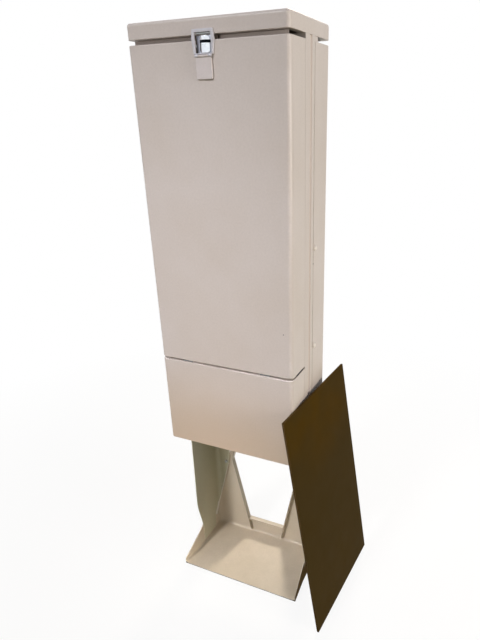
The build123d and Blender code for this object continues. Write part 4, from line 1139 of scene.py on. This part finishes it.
@dataclass
class Studio:
    """The floor, the world and the lamps."""

    floor_reach: float = 40000.0
    floor_lines: int = 9
    floor_colour: str = "#F4F1EC"
    bounce_colour: str = "#A7A481"
    white_share: float = 0.9
    shadow_reach: tuple[float, float] = (700.0, 2000.0)
    world_colour: str = "#EFEFF6"
    world_strength: float = 0.34
    lamps: Sequence[Lamp] = (
        Lamp(
            "key_right", place=(2950.0, -500.0, 1350.0), aim=(0.0, 0.0, 900.0),
            side=900.0, power=56.0, colour="#FFF9F0",
        ),
        Lamp(
            "key_front", place=(-1100.0, -3140.0, 3500.0), aim=(0.0, 0.0, 800.0),
            side=900.0, power=4.4, colour="#FBFBFF", spread=27.0,
        ),
        Lamp(
            "tray_front", place=(-500.0, -900.0, 1100.0), aim=(-120.0, -120.0, 0.0),
            side=300.0, power=0.1, colour="#FFF4E2", spread=20.0,
        ),
        Lamp(
            "cheek_low", place=(450.0, -1000.0, 170.0), aim=(-200.0, -115.0, 15.0),
            side=120.0, power=0.036, colour="#FFF4E2", spread=13.0,
        ),
        Lamp(
            "panel_glow", place=(-120.0, -420.0, 150.0), aim=(-70.0, -120.0, 560.0),
            side=300.0, power=0.11, colour="#FFC98A", spread=66.0,
        ),
        Lamp(
            "patch_rear", place=(-200.0, 1700.0, 2750.0), aim=(20.0, 0.0, 60.0),
            side=320.0, power=42.0, colour="#FFF3E0",
        ),
    )

    def seen(self, tree: Tree) -> Socket:
        """Gives 1 for rays by which the camera, metal or glass sees the background, else 0.

        Args:
            tree: the tree that asks.

        Returns:
            The socket with that share.
        """
        path = add_node(tree, "LightPath")
        either = add_node(tree, "Math", {"operation": "MAXIMUM"}, {
            0: path.outputs["Is Camera Ray"], 1: path.outputs["Is Glossy Ray"],
        })
        return add_node(tree, "Math", {"operation": "MAXIMUM"}, {
            0: either.outputs[0], 1: path.outputs["Is Transmission Ray"],
        }).outputs[0]

    def floor_material(self) -> bpy.types.Material:
        """Makes the floor: white to the eye, less the shadow near the object, and warm as it bounces."""
        made, tree, out = new_material("pale_floor")
        warm = add_node(tree, "BsdfDiffuse", inputs={"Color": linear(self.bounce_colour)})
        pale = add_node(tree, "BsdfDiffuse", inputs={"Color": linear(self.floor_colour)})
        white = add_node(tree, "Emission", inputs={"Strength": 1.0})
        away = add_node(tree, "VectorMath", {"operation": "LENGTH"}, {
            0: add_node(tree, "TexCoord").outputs["Object"],
        })
        near, far = self.shadow_reach
        share = add_node(tree, "MapRange", inputs={
            "Value": away.outputs["Value"], 1: near * MM, 2: far * MM, 3: self.white_share, 4: 1.0,
        })
        shown = add_node(tree, "MixShader", inputs={
            0: share.outputs[0], 1: pale.outputs[0], 2: white.outputs[0],
        })
        both = add_node(tree, "MixShader", inputs={
            0: self.seen(tree), 1: warm.outputs[0], 2: shown.outputs[0],
        })
        tree.links.new(both.outputs[0], out.inputs[0])
        return made

    def floor(self) -> None:
        """Makes the floor: a grid over u, v in -1..1 with x = reach u, y = reach v and z = 0."""
        line = np.linspace(-1, 1, self.floor_lines)
        u, v = np.meshgrid(line, line, indexing="ij")
        points = np.stack([u, v, np.zeros_like(u)], axis=-1) * self.floor_reach
        made = grid_object("floor", points)
        made.data.materials.append(self.floor_material())

    def world(self) -> None:
        """Makes the world: white to the eye and to metal, dimmer as light."""
        made = bpy.data.worlds.new("studio")
        bpy.context.scene.world = made
        made.use_nodes = True
        tree = made.node_tree
        tree.nodes.clear()
        light = add_node(tree, "Background", inputs={
            "Color": linear(self.world_colour), "Strength": self.world_strength,
        })
        white = add_node(tree, "Background", inputs={"Color": (1, 1, 1, 1), "Strength": 1.0})
        both = add_node(tree, "MixShader", inputs={
            0: self.seen(tree), 1: light.outputs[0], 2: white.outputs[0],
        })
        out = add_node(tree, "OutputWorld")
        tree.links.new(both.outputs[0], out.inputs[0])

    def build(self) -> None:
        """Makes floor, world and lamps, and sets the plain view transform."""
        self.floor()
        self.world()
        for lamp in self.lamps:
            lamp.build()
        bpy.context.scene.view_settings.view_transform = "Standard"


@dataclass(frozen=True)
class PhotoCamera:
    """The photograph's camera, solved from the cabinet's own edges, for a 480 x 640 image."""

    image: tuple[float, float] = (480.0, 640.0)
    film_height: float = 36.0
    nearest: float = 50.0
    focal: float = 523.03
    centre: tuple[float, float] = (281.6, 339.884)
    place: tuple[float, float, float] = (659.58, -1218.03, 1410.71)
    right: tuple[float, float, float] = (0.915976, 0.400981, -0.014242)
    down: tuple[float, float, float] = (0.146202, -0.366607, -0.918817)
    ahead: tuple[float, float, float] = (-0.373649, 0.839532, -0.394427)

    def build(self) -> None:
        """Makes the camera: its columns are right, up and backwards, its shift the image centre's."""
        data = bpy.data.cameras.new("photo_camera")
        wide, tall = self.image
        data.sensor_fit = "VERTICAL"
        data.sensor_height = self.film_height
        data.lens = self.focal / tall * self.film_height
        data.shift_x = (wide / 2 - self.centre[0]) / tall
        data.shift_y = (self.centre[1] - tall / 2) / tall
        data.clip_start = self.nearest * MM
        made = bpy.data.objects.new("photo_camera", data)
        bpy.context.scene.collection.objects.link(made)
        turn = np.array([self.right, -np.array(self.down), -np.array(self.ahead)]).T
        made.matrix_world = Matrix.Translation(Vector(self.place) * MM) @ Matrix(turn.tolist()).to_4x4()
        bpy.context.scene.camera = made
        LOG.info("camera at %s", self.place)


def main() -> None:
    """Builds camera and studio, then each sub-assembly."""
    logging.basicConfig(level=logging.INFO, format="%(name)s: %(message)s")
    PhotoCamera().build()
    Studio().build()
    wardrobe = Wardrobe()
    for assembly in (Cabinet(), Door(), Lock(), Stand(), LeaningBoard()):
        assembly.dress(wardrobe)


if __name__ == "__main__":
    main()
